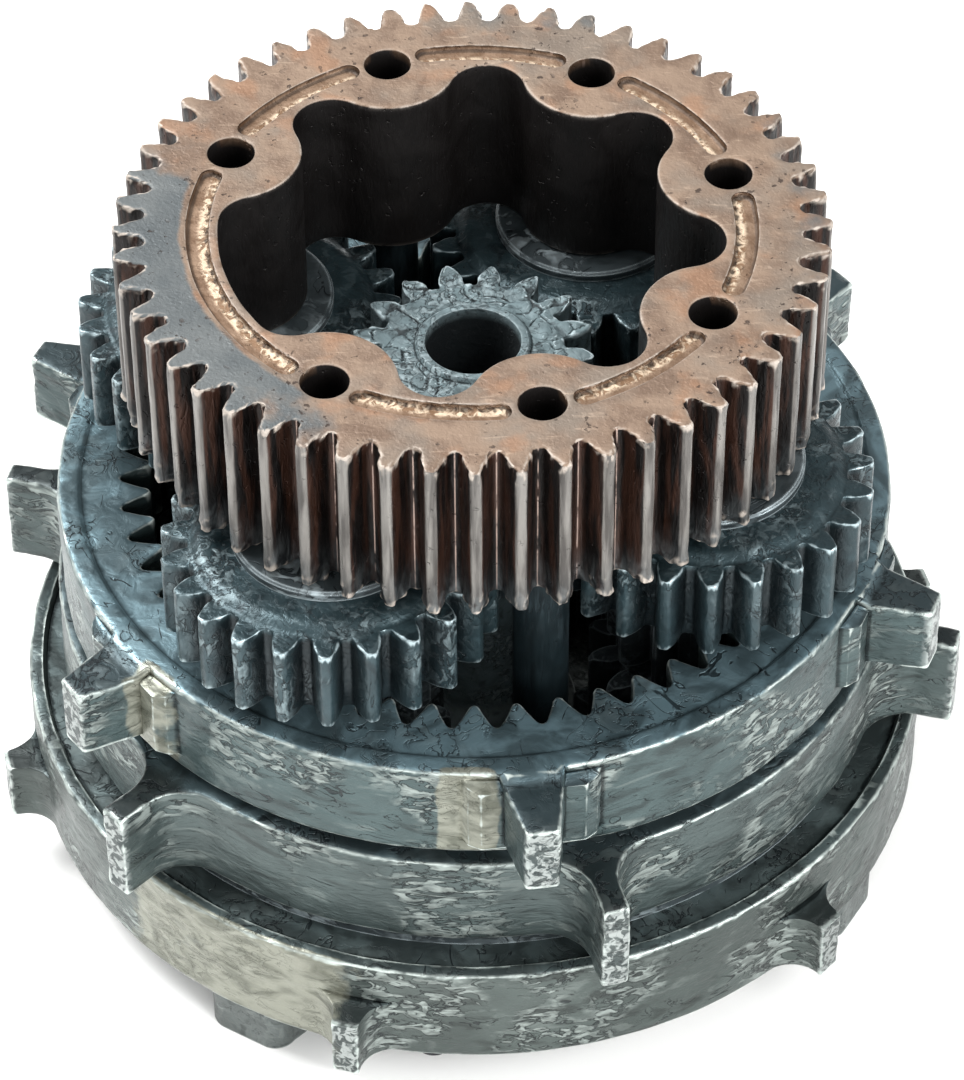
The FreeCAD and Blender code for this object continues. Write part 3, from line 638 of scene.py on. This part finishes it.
def flange_paint():
    """Copper-tinted flange: tan top, smooth grey band, gold grooves, brown-black walls, and
    painted shade on the walls of the bore and the holes.
    """
    paint = Paint("flange_steel", 0.35)
    blotch = paint.ramp(paint.noise(4.5, 6.0, warp=0.8), 0.3, 0.7)
    top = paint.blend(blotch, COPPER_DARK, COPPER_LIGHT)
    haze = paint.ramp(paint.noise(9.0, 3.0, seed=21), 0.42, 0.66)
    top = paint.blend(paint.times(haze, 0.7), top, COPPER_HAZE)
    rust = paint.ramp(paint.noise(7.0, 4.0, seed=27), 0.52, 0.66)
    top = paint.blend(paint.times(rust, 0.45), top, COPPER_RUST)
    scratch = paint.ramp(paint.noise(0.8, 4.0, (5, 1, 1), 0.8, 5), 0.6, 0.75)
    top = paint.blend(paint.times(scratch, 0.4), top, COPPER_SCRATCH)
    grey_tone = paint.blend(paint.ramp(paint.noise(5.0, 4.0, seed=13), 0.3, 0.7),
                            BAND_DARK, BAND_LIGHT)
    smudge = paint.minus(paint.noise(5.0, 5.0, seed=8), 0.5)
    smudge = paint.times(smudge, 1.4)
    grey = paint.ramp(paint.plus(paint.mask("grey"), smudge), 0.25, 0.75)
    top = paint.blend(grey, top, grey_tone)
    pit = paint.ramp(paint.noise(0.9, 2.0, seed=31), 0.35, 0.29)
    pits = paint.times(pit, paint.ramp(paint.noise(6.0, 2.0, seed=33), 0.42, 0.6))
    top = paint.blend(paint.times(pits, 0.85), top, COPPER_PIT)
    # sides of the teeth: brown-black grease with upright streaks over worn grey steel
    upright = paint.noise(0.9, 5.0, (1, 1, 14), 0.4, 51)
    worn = paint.blend(paint.ramp(upright, 0.35, 0.65), LAND_DARK, LAND_LIGHT)
    grease = paint.blend(paint.ramp(paint.noise(1.2, 5.0, (1, 1, 10), 0.5, 57), 0.42, 0.66),
                         GREASE_DARK, GREASE_BROWN)
    depth = paint.plus(paint.mask("valley"),
                       paint.times(paint.minus(upright, 0.5), 0.7))
    side = paint.blend(paint.ramp(depth, 0.10, 0.34), worn, grease)
    rubbed = paint.times(paint.ramp(paint.mask("strip"), 0.40, 0.75),
                         paint.ramp(paint.noise(3.0, 4.0, seed=65), 0.36, 0.52))
    side = paint.blend(paint.times(rubbed, 0.9), side, ROOT_RUBBED)
    oily = paint.blend(paint.ramp(paint.noise(1.3, 5.0, (1, 1, 3), 1.0, 61), 0.4, 0.65),
                       OIL_DARK, OIL_LIGHT)
    side = paint.blend(paint.times(paint.mask("oil"), 0.75), side, oily)
    # painted shade: the walls of the bore and the holes are painted near black
    side = paint.blend(paint.mask("inside"), side, BORE_SHADE)
    up = paint.ramp(paint.facing_up(), 0.35, 0.75)
    colour = paint.blend(paint.times(up, paint.mask("outer")), side, top)
    # groove floors are crystalline and golden along the middle, groove walls brown
    sparkle = paint.ramp(paint.noise(1.0, 6.0, warp=1.2, seed=41), 0.40, 0.56)
    gold = paint.blend(sparkle, GOLD_DARK, GOLD_LIGHT)
    brown = paint.blend(paint.ramp(paint.noise(2.0, 4.0, seed=43), 0.35, 0.65),
                        CHANNEL_DARK, CHANNEL_LIGHT)
    gold = paint.blend(paint.mask("channel"), gold, brown)
    gold = paint.blend(up, brown, gold)
    colour = paint.blend(paint.mask("groove"), colour, gold)
    # bright nicked edges; the convex mask also takes in raised relief, so the brightening is
    # partly a painted highlight
    convex = paint.mask("convex")
    nick = paint.ramp(paint.noise(1.3, 5.0, seed=71), 0.33, 0.55)
    edge = paint.times(paint.ramp(convex, 0.57, 0.75), nick)
    colour = paint.blend(paint.times(edge, 0.8), colour, COPPER_EDGE)
    # painted shade: hollows and creases of the flange are darkened towards near black
    hollow_shade = paint.ramp(convex, 0.45, 0.25)
    colour = paint.blend(paint.times(hollow_shade, 0.8), colour, COPPER_HOLLOW_SHADE)
    # the bore's painted shade and the deep grease are made more metallic, so that they mirror less
    # light
    dull = paint.maths("MAXIMUM", paint.mask("inside"), paint.ramp(depth, 0.2, 0.5))
    dull = paint.times(dull, paint.minus(1.0, up))
    paint.darker_gloss(paint.times(dull, 0.45))
    rough = paint.plus(paint.times(blotch, 0.2), 0.36)
    rough = paint.plus(rough, paint.times(up, 0.12))
    grain = paint.noise(0.5, 6.0, (1, 1, 4), 0.5, 81)
    height = paint.minus(grain, paint.times(pits, 1.2))
    height = paint.plus(height, paint.times(sparkle, paint.mask("crystal")))
    return paint.finish(colour, rough, height, 0.13)


def tan_patches(paint, colour):
    """Dry tan film where the tan mask is set, broken up by noise."""
    film = paint.plus(paint.mask("tan"),
                      paint.minus(paint.noise(3.0, 5.0, seed=91), 0.5))
    dry = paint.blend(paint.ramp(paint.noise(2.6, 6.0, (2, 2, 1), 1.2, 93), 0.30, 0.62),
                      TAN_DARK, TAN_LIGHT)
    colour = paint.blend(paint.times(paint.ramp(film, 0.45, 0.70), 0.88), colour, dry)
    mottle = paint.ramp(paint.noise(1.0, 5.0, warp=0.8, seed=95), 0.44, 0.56)
    rubbed = paint.blend(mottle, TIP_DARK, TIP_LIGHT)
    return paint.blend(paint.times(paint.mask("tip"), 0.75), colour, rubbed)


def ring_paint(name, seed, streaks, wall_tone, top_tone):
    """Ring steel: scuffed grey-green walls, and a darker glossy face that looks up, with lighter
    patches that are partly a painted sheen, and painted shade on its lug tops.
    """
    def faces(paint, colour):
        # lighter patches on the upward faces, partly a painted sheen
        tone_and_sheen_patches = paint.ramp(paint.noise(2.4, 4.0, (3, 3, 1), 1.2, seed + 40), 0.42, 0.62)
        glossy = paint.blend(tone_and_sheen_patches, top_tone, scaled(top_tone, 2.5))
        up = paint.ramp(paint.facing_up(), 0.5, 0.85)
        # painted shade: the lug tops past the rim are darkened to 0.45 of the face tone
        glossy = paint.blend(paint.mask("lug"), glossy, scaled(top_tone, 0.45))
        return paint.blend(paint.times(up, 0.85), colour, glossy)
    return worn_steel(name, scaled(wall_tone, 0.3), wall_tone, RING_LIGHT, streaks,
                      9.0, True, seed, shine=0.38, extra=faces, film=tan_patches, scuffs=0.7,
                      relief=0.18)


# ---- carrier flange ----
def rounded_band(low, high, value, blur):
    """1 between low and high, falling off over blur on each side."""
    return limited((value - low) / blur) * limited((high - value) / blur)


def make_flange():
    shell = Shell(1)
    low, high = levels("carrier_gear")
    pitch = FLANGE_MODULE * FLANGE_TEETH / 2
    tip = pitch + FLANGE_MODULE
    root = pitch - 1.25 * FLANGE_MODULE
    outline = tooth_outline(FLANGE_TEETH, FLANGE_MODULE, FLANGE_PRESSURE, tip, root,
                            FLANGE_THINNING, FLANGE_PHASE, 0.22, 0.5)
    bottom, top = shell.straight(outline, low, high, 0.8)
    bore = bore_outline()
    bore_bottom, bore_top = shell.straight(bore, low, high, 1.0, inward=True, edge=BORE_EDGE)
    top_loops = [top, bore_top]
    bottom_loops = [bottom, bore_bottom]
    for angle in HOLE_ANGLES:
        hole = circle(HOLE_RADIUS, 40, polar(CENTRE_DISTANCE, angle))
        hole_bottom, hole_top = shell.straight(hole, low, high, 1.2, inward=True, edge=HOLE_EDGE)
        top_loops.append(hole_top)
        bottom_loops.append(hole_bottom)
    gap = GROOVE_END_GAP / GROOVE_RADIUS
    ends = [(angle + gap, angle + HOLE_STEP - gap) for angle in HOLE_ANGLES[:-1]]
    ends.append((HOLE_ANGLES[-1] + gap, HOLE_ANGLES[0] + 2 * math.pi - gap))
    for start, end in ends:
        loops = []
        for drop, widen in GROOVE_PROFILE:
            groove = groove_outline(start, end, GROOVE_WIDTH / 2 + widen)
            loops.append(at_level(groove, high - drop))
        shell.wall(loops[::-1], inward=True)
        top_loops.append(loops[0][:, :2])
        shell.cap([loops[-1][:, :2]], high - GROOVE_PROFILE[-1][0], 0.35)
    shell.cap(top_loops, high, 0.5)
    shell.cap(bottom_loops, low, 1.6, down=True)

    def groove_band(points):
        radius = radius_of(points)
        deep = limited((high - points[:, 2] - 0.12) / 0.25)
        return deep * rounded_band(GROOVE_RADIUS - 2.0, GROOVE_RADIUS + 2.0, radius, 0.3) * (
            points[:, 2] > high - 1.2)

    def channel(points):
        """The smooth outer side of each groove."""
        radius = radius_of(points)
        return limited((radius - GROOVE_RADIUS + 0.25) / 0.3)

    def worked(points, normals):
        radius = radius_of(points)
        result = 0.05 * fractal(points, 6.0, 4, 1)
        near_end = np.minimum(points[:, 2] - low, high - points[:, 2])
        at_edge = limited(1.6 - near_end) * (np.abs(normals[:, 2]) < 0.9)
        at_edge *= (radius > root - 0.5)
        result += 0.28 * at_edge * fractal(points, 1.3, 3, 2)
        lower = limited((low + 4 - points[:, 2]) / 4) * (radius > root + 0.8)
        result += 0.42 * lower * fractal(points, 1.8, 3, 5)
        result += 0.16 * groove_band(points) * (1 - channel(points)) * fractal(points, 1.1, 3, 3)
        return result

    def grey(points):
        angle = np.degrees(np.arctan2(points[:, 1], points[:, 0])) % 360
        radius = radius_of(points)
        left = rounded_band(152, 254, angle, 20) * limited((radius - 32.2) / 1.2)
        left *= np.where(angle > 225, 0.75, 1.0)
        right = 0.45 * limited(1 - np.minimum(angle, 360 - angle) / 40)
        back = 0.4 * rounded_band(60, 100, angle, 10)
        return np.maximum(left, np.maximum(right, back) * limited((radius - 34) / 3))

    def valley(points):
        radius = radius_of(points)
        return limited((tip - 0.1 - radius) / 0.8)

    # mask of the painted shade on the walls of the bore and the holes
    def inside(points):
        radius = radius_of(points)
        return (radius < root - 0.6) * limited((high - 0.1 - points[:, 2]) / 0.15) * (
            1 - groove_band(points))

    def strip(points):
        """Thin upright strip down the middle of each gap."""
        turn = FLANGE_TEETH * (np.arctan2(points[:, 1], points[:, 0]) - math.radians(FLANGE_PHASE))
        middle = limited((np.cos(turn - math.pi) - 0.985) / 0.015)
        return middle * (radius_of(points) < root + 0.5)

    masks = {"groove": groove_band, "channel": channel,
             "crystal": lambda p: groove_band(p) * (1 - channel(p)), "grey": grey,
             "valley": valley, "inside": inside, "strip": strip,
             "outer": lambda p: p[:, 2] > high - 1.2,
             "oil": lambda p: limited((low + 5.5 - p[:, 2]) / 6)}
    return shell.build("carrier_gear_worn", "carrier_gear", flange_paint(),
                       worked, masks)


# ---- ring gears ----
def ring_sector(ring):
    """One sixth of a ring, as arrays over its stations: circle, shoulder and lug points, and a
    flag that says which stations are on the lug. It is drawn round +X and runs anticlockwise."""
    radius = RING_RADIUS[ring]
    tip = LUG_TIP[ring]
    half_tip = LUG_TIP_HALF[ring]
    corner = LUG_CORNER
    if ring == 0:
        shoulder = radius + SHOULDER_OUT
        corner_y = SHOULDER_HALF - SHOULDER_SLOPE
        side_x = np.linspace(shoulder, tip - corner, 12)
        side_y = np.interp(side_x, [shoulder, tip], [LUG_ROOT_HALF, half_tip])
        lug = list(zip(side_x, side_y))
        lug += [(tip - 0.3 * corner, half_tip - 0.3 * corner)]
        lug += [(tip, y) for y in np.linspace(half_tip - corner, 0, 4)]
        spread = np.linspace(LUG_ROOT_HALF, 0, len(lug))
        wide = [(shoulder, y) for y in spread]
        before = [(shoulder, y) for y in np.linspace(corner_y, LUG_ROOT_HALF, 7)[:-1]]
        slope = [(shoulder - 0.9 * t, corner_y + SHOULDER_SLOPE * t) for t in (1.0, 0.66, 0.33)]
        wide = slope + before + wide
        lug = slope + before + lug
        flags = [0] * (len(slope) + len(before)) + [1] * (len(lug) - len(slope) - len(before))
    else:
        bend = LUG_BEND[ring]
        bend_x = math.sqrt((radius + bend) ** 2 - (half_tip + bend) ** 2)
        rim = math.atan2(half_tip + bend, bend_x)
        turns = np.linspace(math.pi + rim, 1.5 * math.pi, 12)
        lug = [(bend_x + bend * math.cos(t), half_tip + bend + bend * math.sin(t)) for t in turns]
        reach = max(2, round((tip - corner - bend_x) / 0.7))
        lug += [(x, half_tip) for x in np.linspace(bend_x, tip - corner, reach + 1)[1:]]
        lug += [(tip - 0.3 * corner, half_tip - 0.3 * corner)]
        lug += [(tip, y) for y in np.linspace(half_tip - corner, 0, 4)]
        spread = np.linspace(rim * radius, 0, len(lug))
        wide = [(math.sqrt(radius ** 2 - y ** 2), y) for y in spread]
        flags = [1] * len(lug)
    lug = np.array(lug)
    wide = np.array(wide)
    mirror = np.array([1, -1])
    lug = np.concatenate([lug[:-1] * mirror, lug[::-1]])
    wide = np.concatenate([wide[:-1] * mirror, wide[::-1]])
    flags = np.array(flags[:-1] + flags[::-1])
    rim_end = math.atan2(wide[-1][1], wide[-1][0])
    step = 2 * math.pi / LUGS
    count = round((step - 2 * rim_end) * radius / 0.75)
    plain = polar(radius, np.linspace(rim_end, step - rim_end, count + 1)[1:-1])
    base = wide / np.linalg.norm(wide, axis=1)[:, None] * radius
    return (np.concatenate([base, plain]), np.concatenate([wide, plain]),
            np.concatenate([lug, plain]), np.concatenate([flags, np.zeros(len(plain), int)]))


def all_round(points, first):
    """A sector's points repeated for every lug, starting at that angle in degrees."""
    result = []
    for lug in range(LUGS):
        angle = math.radians(first) + lug * 2 * math.pi / LUGS
        turn = np.array([[math.cos(angle), math.sin(angle)], [-math.sin(angle), math.cos(angle)]])
        result.append(points @ turn)
    return np.concatenate(result)


def share(level, low, high, blur=0.12):
    """1 between the two levels, falling to 0 over blur outside them."""
    return float(limited(min(level - (low - blur), (high + blur) - level) / blur))


def ring_levels(low, high, marks):
    """Levels of a ring's wall, with a close group at each mark where a lug starts or ends."""
    groups = [steps(low, high, 0.6, RING_EDGE)]
    for mark, side in marks:
        groups.append(mark + side * np.linspace(0, 0.12, 6))
    return np.unique(np.round(np.concatenate(groups), 3))


def make_ring(ring, material, lug_levels, shoulder_levels, tan):
    """Ring gear with its lugs, and the step in its top face."""
    node = "ring_gear_%d" % (ring + 1)
    shell = Shell(10 + ring)
    low, high = levels(node)
    base, wide, lug, flags = ring_sector(ring)
    base = all_round(base, LUG_ANGLE[ring])
    wide = all_round(wide, LUG_ANGLE[ring])
    lug = all_round(lug, LUG_ANGLE[ring])
    flags = np.tile(flags, LUGS)[:, None]
    marks = []
    for bottom_level, top_level in (lug_levels, shoulder_levels):
        if bottom_level > low + 0.2:
            marks.append((bottom_level, -1))
        if top_level < high - 0.2:
            marks.append((top_level, 1))
    loops = []
    for level in ring_levels(low, high, marks):
        on_lug = share(level, *lug_levels)
        on_shoulder = share(level, *shoulder_levels)
        loop = base + (wide - base) * on_shoulder
        loop = loop + (lug - loop) * on_lug * flags
        loop = inset(loop, rounding(level, low, high, RING_EDGE))
        loops.append(at_level(loop, level))
    shell.wall(loops)
    opening = ring_opening(RING_TEETH[ring])
    face = high - STEP_DEPTH[ring]
    inner_bottom, inner_top = shell.straight(opening, low, face, 1.6, inward=True)
    rise = [at_level(circle(STEP_RADIUS[ring] + 0.5 * t, 440), face + STEP_DEPTH[ring] * t ** 0.7)
            for t in (0.0, 0.3, 0.7, 1.0)]
    shell.wall(rise, inward=True)
    shell.cap([loops[-1][:, :2], rise[-1][:, :2]], high, 0.62)
    shell.cap([rise[0][:, :2], inner_top], face, 0.62)
    shell.cap([loops[0][:, :2], inner_bottom], low, 1.8, down=True)
    if ring == 0:
        for points in shell.points:
            radius = radius_of(points)
            beyond = limited((radius - RING_RADIUS[0] - 0.3) / 1.1)
            points[:, 2] -= LUG_DROP * beyond * limited((points[:, 2] - high + 4) / 4)

    def worked(points, normals):
        radius = radius_of(points)
        outer = limited((radius - 46.8) / 1.5)
        result = outer * 0.16 * fractal(points, 6.0, 4, 3 + ring)
        result += outer * 0.05 * fractal(points * np.array([1, 1, 2.5]), 2.2, 2, 6 + ring)
        ends = limited((radius - RING_RADIUS[ring] - 1.5) / 2)
        result += 0.10 * ends * fractal(points, 1.8, 2, 9)
        return np.where(np.abs(normals[:, 2]) > 0.7, 0.6 * result, result)

    def end_face(points):
        radius = radius_of(points)
        return limited((radius - LUG_TIP[ring] + 0.5) / 0.3)

    # mask of the painted shade on the lug tops
    def lug_shade_mask(points):
        radius = radius_of(points)
        return limited((radius - RING_RADIUS[ring] - 0.2) / 1.0)

    return shell.build(node + "_worn", node, material, worked,
                       {"tan": tan, "tip": end_face, "lug": lug_shade_mask})


def angular(points, centre, width, fade):
    """1 near an angle, in degrees, falling to 0 over fade past half of the width."""
    angle = np.degrees(np.arctan2(points[:, 1], points[:, 0]))
    away = np.abs((angle - centre + 180) % 360 - 180)
    return limited((width / 2 + fade - away) / fade)


def make_rings():
    def tan_1(points):
        radius = radius_of(points)
        outer = limited((radius - 47.5) / 1.0)
        front = angular(points, -91, 6, 2)
        left = 0.75 * angular(points, -137, 5, 3) * limited((53.5 - radius) / 1.5)
        return outer * np.maximum(front, left)

    def tan_3(points):
        outer = limited((radius_of(points) - 53.3) / 0.8)
        return outer * 0.85 * angular(points, -122, 26, 8)

    def no_tan(points):
        return np.zeros(len(points))

    level = levels("ring_gear_1")
    make_ring(0, ring_paint("ring_1_steel", 2.0, (3, 3, 1), RING_MIDDLE, (0.060, 0.094, 0.108)),
              (level[1] - 10.0, level[1] + 1), (level[1] - 10.8, level[1] - 1.0), tan_1)
    level = levels("ring_gear_2")
    make_ring(1, ring_paint("ring_2_steel", 4.0, (4, 4, 1), (0.049, 0.066, 0.065),
                            (0.028, 0.042, 0.047)),
              (level[0] - 1, level[1] + 1), (level[0] - 1, level[1] + 1), no_tan)
    level = levels("ring_gear_3")
    make_ring(2, ring_paint("ring_3_steel", 6.0, (3, 3, 1), (0.050, 0.063, 0.059),
                            (0.036, 0.048, 0.049)),
              (level[0] - 1, level[0] + 8.5), (level[0] - 1, level[0] + 8.5), tan_3)


# ---- planets and sun ----
def make_planet(number, material):
    node = "planet_gear_%d" % number
    shell = Shell(30 + number)
    low, high = levels(node)
    tooth_top = high - PLANET_FACE_HEIGHT
    tip = MODULE * UPPER_TEETH / 2 + MODULE - TIP_WEAR
    outline = inner_teeth(UPPER_TEETH, TIP_WEAR)
    bottom, top = shell.straight(outline, low, tooth_top, 0.7, edge=0.25)
    rise = [(tooth_top, PLANET_FACE_RADIUS + 0.4), (tooth_top + 0.3, PLANET_FACE_RADIUS - 0.1),
            (high - 0.15, PLANET_FACE_RADIUS - 0.7), (high, PLANET_FACE_RADIUS - 1.2)]
    loops = [at_level(circle(radius, 150), level) for level, radius in rise]
    shell.wall(loops)
    shell.cap([top, loops[0][:, :2]], tooth_top, 0.45)
    bore_bottom, bore_top = shell.straight(circle(PLANET_BORE, 60), low, high, 2.0, inward=True)
    shell.cap([loops[-1][:, :2], bore_top], high, 0.6)
    shell.cap([bottom, bore_bottom], low, 1.2, down=True)

    def worked(points, normals):
        radius = radius_of(points)
        outer = limited((radius - 15) / 2)
        ends = limited((1.5 - (tooth_top - points[:, 2])) / 1.5)
        shifted = points + np.array([40.0 * number, 0, 0])
        result = 0.06 * fractal(shifted, 4.0, 4, number)
        result += 0.12 * outer * ends * fractal(shifted, 1.6, 2, number + 5)
        return result * (radius > PLANET_BORE + 0.5)

    # mask of the painted shade between the teeth
    def valley(points):
        radius = radius_of(points)
        return limited((tip - 0.4 - radius) / 1.4) * (
            limited((tooth_top - 0.2 - points[:, 2]) / 0.5))

    angle = FIRST_HOLE + HOLE_STEP * 2 * (number - 1)
    centre = polar(CENTRE_DISTANCE, angle)
    return shell.build(node + "_worn", node, material, worked,
                       {"valley": valley}, centre)


def make_sun(material):
    shell = Shell(40)
    low, high = levels("sun_gear")
    face = high - SUN_FACE_DEPTH
    teeth_bottom = SUN_TEETH_BOTTOM
    groove_low, groove_high, groove_radius = CLIP_GROOVE
    outline = inner_teeth(SUN_TEETH)
    bottom, top = shell.straight(outline, teeth_bottom, face, 0.5, edge=0.3)
    rise = [(face, SUN_RIM), (face + 0.25, SUN_RIM - 0.15), (high - 0.1, SUN_RIM - 0.3),
            (high, SUN_RIM - 0.45)]
    loops = [at_level(circle(radius, 110), level) for level, radius in rise]
    shell.wall(loops)
    shell.cap([top, loops[0][:, :2]], face, 0.3)
    bore_bottom, bore_top = shell.straight(circle(SUN_BORE, 90), low, high, 1.5,
                                           inward=True, edge=0.2)
    shell.cap([loops[-1][:, :2], bore_top], high, 0.3)
    sleeve = [(teeth_bottom, SLEEVE_RADIUS + 2.2), (teeth_bottom - 1.5, SLEEVE_RADIUS + 1.1),
              (teeth_bottom - 3, SLEEVE_RADIUS), (20.0, SLEEVE_RADIUS),
              (groove_high, SLEEVE_RADIUS), (groove_high, groove_radius),
              (groove_low, groove_radius), (groove_low, SLEEVE_RADIUS),
              (low + 0.4, SLEEVE_RADIUS), (low, SLEEVE_RADIUS - 0.4)]
    loops = [at_level(circle(radius, 90), level) for level, radius in reversed(sleeve)]
    shell.wall(loops)
    shell.cap([bottom, loops[-1][:, :2]], teeth_bottom, 0.8, down=True)
    shell.cap([loops[0][:, :2], bore_bottom], low, 1.0, down=True)

    def flakes(points):
        """1 on the flakes of the sun's face, 0 in the cracks between them."""
        return np.clip(ridged(points, 4.3, 3), 0, 0.11) / 0.11

    def worked(points, normals):
        radius = radius_of(points)
        upper = limited((points[:, 2] - 65.0) / 3.0)
        crust = upper * limited((radius - SUN_RIM) / 0.8)
        crust = crust * limited((normals[:, 2] - 0.2) / 0.4)
        result = crust * (0.22 * flakes(points) - 0.2 + 0.34 * fractal(points, 4.0, 2, 4))
        result += 0.18 * upper * (radius > 8) * fractal(points, 3.0, 2, 8)
        ring = upper * (1 - limited((radius - SUN_RIM) / 0.8)) * (radius > SUN_BORE + 0.15)
        return result + 0.06 * ring * fractal(points, 1.5, 3, 5)

    # mask of the painted shade inside the bore
    def inside(points):
        radius = radius_of(points)
        return (radius < SUN_BORE + 0.15) * limited((high - 0.2 - points[:, 2]) / 0.6)

    def crack(points):
        radius = radius_of(points)
        crust = (points[:, 2] > 66.0) * (radius > SUN_RIM + 0.4)
        open_part = limited(0.55 + 2.0 * fractal(points, 3.0, 2, 12))
        return crust * open_part * (1 - flakes(points))

    return shell.build("sun_gear_worn", "sun_gear", material, worked,
                       {"inside": inside, "crack": crack})


def sun_marks(paint, colour):
    """Dark cracks in the sun's face, and painted shade inside its bore."""
    crack = paint.ramp(paint.mask("crack"), 0.25, 0.7)
    colour = paint.blend(paint.times(crack, 0.85), colour, (0.010, 0.014, 0.016))
    # painted shade: the bore wall is painted near black
    return paint.blend(paint.mask("inside"), colour, (0.012, 0.016, 0.018))


def painted_valley_shade(paint, colour):
    """Painted shade between the teeth of the planets."""
    gap = paint.times(paint.mask("valley"), 0.75)
    return paint.blend(gap, colour, (0.006, 0.009, 0.011))


# ---- materials of the CAD nodes that stay ----
def cad_materials():
    return {
        "planet_steel": worn_steel("cluster_steel", (0.006, 0.009, 0.011), (0.022, 0.029, 0.032),
                                   (0.13, 0.16, 0.17), meshed=False, seed=3.0),
        # painted shade: the pin steel is coloured very dark for the shadow the pins stand in
        "pin_steel": worn_steel("pin_steel", (0.003, 0.005, 0.006), (0.009, 0.016, 0.019),
                                (0.03, 0.045, 0.052), (1, 1, 8), 3.0, False, 5.0, relief=0.04),
        "bronze": worn_steel("bronze", (0.04, 0.02, 0.01), (0.14, 0.08, 0.035),
                             (0.34, 0.22, 0.12), meshed=False, seed=7.0, relief=0.04),
        # the washer steel's light colour is raised to show bright crescents, partly a painted
        # highlight
        "washer_steel": worn_steel("washer_steel", (0.012, 0.017, 0.02), (0.045, 0.057, 0.062),
                                   (0.34, 0.40, 0.42), (3, 3, 1), 3.0, False, 9.0, relief=0.08),
        "base_steel": worn_steel("base_steel", (0.02, 0.025, 0.025), (0.085, 0.098, 0.095),
                                 (0.28, 0.31, 0.30), meshed=False, seed=11.0, scuffs=0.9),
        "fastener_steel": worn_steel("fastener_steel", (0.003, 0.003, 0.0035),
                                     (0.012, 0.012, 0.014), (0.05, 0.05, 0.055), meshed=False,
                                     seed=13.0, relief=0.03)}


def paint_cad_nodes():
    paints = cad_materials()
    for row in frame["record"]["subparts"]:
        material = paints.get(row["material_slot"])
        if material is None:
            continue
        for place in frame["nodes"][row["node"]].material_slots:
            place.material = material


make_flange()
make_rings()
# the planets' film is painted shade between their teeth
planet_paint = worn_steel("planet_steel", (0.005, 0.010, 0.013), (0.023, 0.040, 0.046),
                          (0.19, 0.245, 0.26), (1, 1, 2), 4.0, True, 15.0, shine=0.36,
                          scuffs=0.65, relief=0.16, film=painted_valley_shade)
for planet in range(1, 5):
    make_planet(planet, planet_paint)
make_sun(worn_steel("sun_steel", (0.022, 0.033, 0.038), (0.105, 0.145, 0.155), (0.25, 0.31, 0.325),
                    patch=2.5, seed=17.0, shine=0.62, metallic=0.2, film=sun_marks, relief=0.16))
paint_cad_nodes()

# ---- camera ----
AIM = Vector((0.0009, 0.0, 0.03723))
DISTANCE = 0.54613
ELEVATION = math.radians(44.655)
ROLL = math.radians(-0.316)
LENS = 151.63


def make_camera():
    forward = Vector((0, math.cos(ELEVATION), -math.sin(ELEVATION)))
    side = forward.cross(Vector((0, 0, 1))).normalized()
    up = side.cross(forward)
    right = math.cos(ROLL) * side + math.sin(ROLL) * up
    top = -math.sin(ROLL) * side + math.cos(ROLL) * up
    data = bpy.data.cameras.new("camera")
    data.sensor_fit = "VERTICAL"
    data.sensor_height = 36.0
    data.lens = LENS
    data.clip_start = 0.01
    data.clip_end = 20.0
    camera = bpy.data.objects.new("camera", data)
    turn = Matrix((right, top, -forward)).transposed().to_4x4()
    camera.matrix_world = Matrix.Translation(AIM - DISTANCE * forward) @ turn
    scene.collection.objects.link(camera)
    scene.camera = camera


make_camera()

# ---- floor and light ----


def make_floor():
    mesh = bpy.data.meshes.new("floor")
    reach = 6.0
    mesh.from_pydata([(-reach, -reach, 0), (reach, -reach, 0), (reach, reach, 0),
                      (-reach, reach, 0)], [], [(0, 1, 2, 3)])
    floor = bpy.data.objects.new("floor", mesh)
    scene.collection.objects.link(floor)
    material = bpy.data.materials.new("floor")
    material.use_nodes = True
    shader = material.node_tree.nodes["Principled BSDF"]
    shader.inputs["Base Color"].default_value = (0.93, 0.93, 0.92, 1)
    shader.inputs["Roughness"].default_value = 0.9
    mesh.materials.append(material)


make_floor()


def area_light(name, place, target, size, power, colour=(1, 1, 1)):
    data = bpy.data.lights.new(name, "AREA")
    data.shape = "RECTANGLE"
    data.size, data.size_y = size
    data.energy = power
    data.color = colour
    lamp = bpy.data.objects.new(name, data)
    lamp.location = place
    direction = Vector(target) - Vector(place)
    lamp.rotation_euler = direction.to_track_quat("-Z", "Y").to_euler()
    scene.collection.objects.link(lamp)


area_light("key", (-0.45, 0.25, 0.75), (0, 0, 0.05), (0.5, 0.5), 13)
area_light("fill", (0.6, -0.5, 0.5), (0, 0, 0.05), (0.6, 0.6), 10)
area_light("front", (-0.1, -0.9, 0.35), (0, 0, 0.04), (0.8, 0.4), 5)
world = bpy.data.worlds.new("world")
world.use_nodes = True
world.node_tree.nodes["Background"].inputs["Color"].default_value = (1, 1, 1, 1)
world.node_tree.nodes["Background"].inputs["Strength"].default_value = 0.6
scene.world = world
scene.view_settings.view_transform = "Standard"
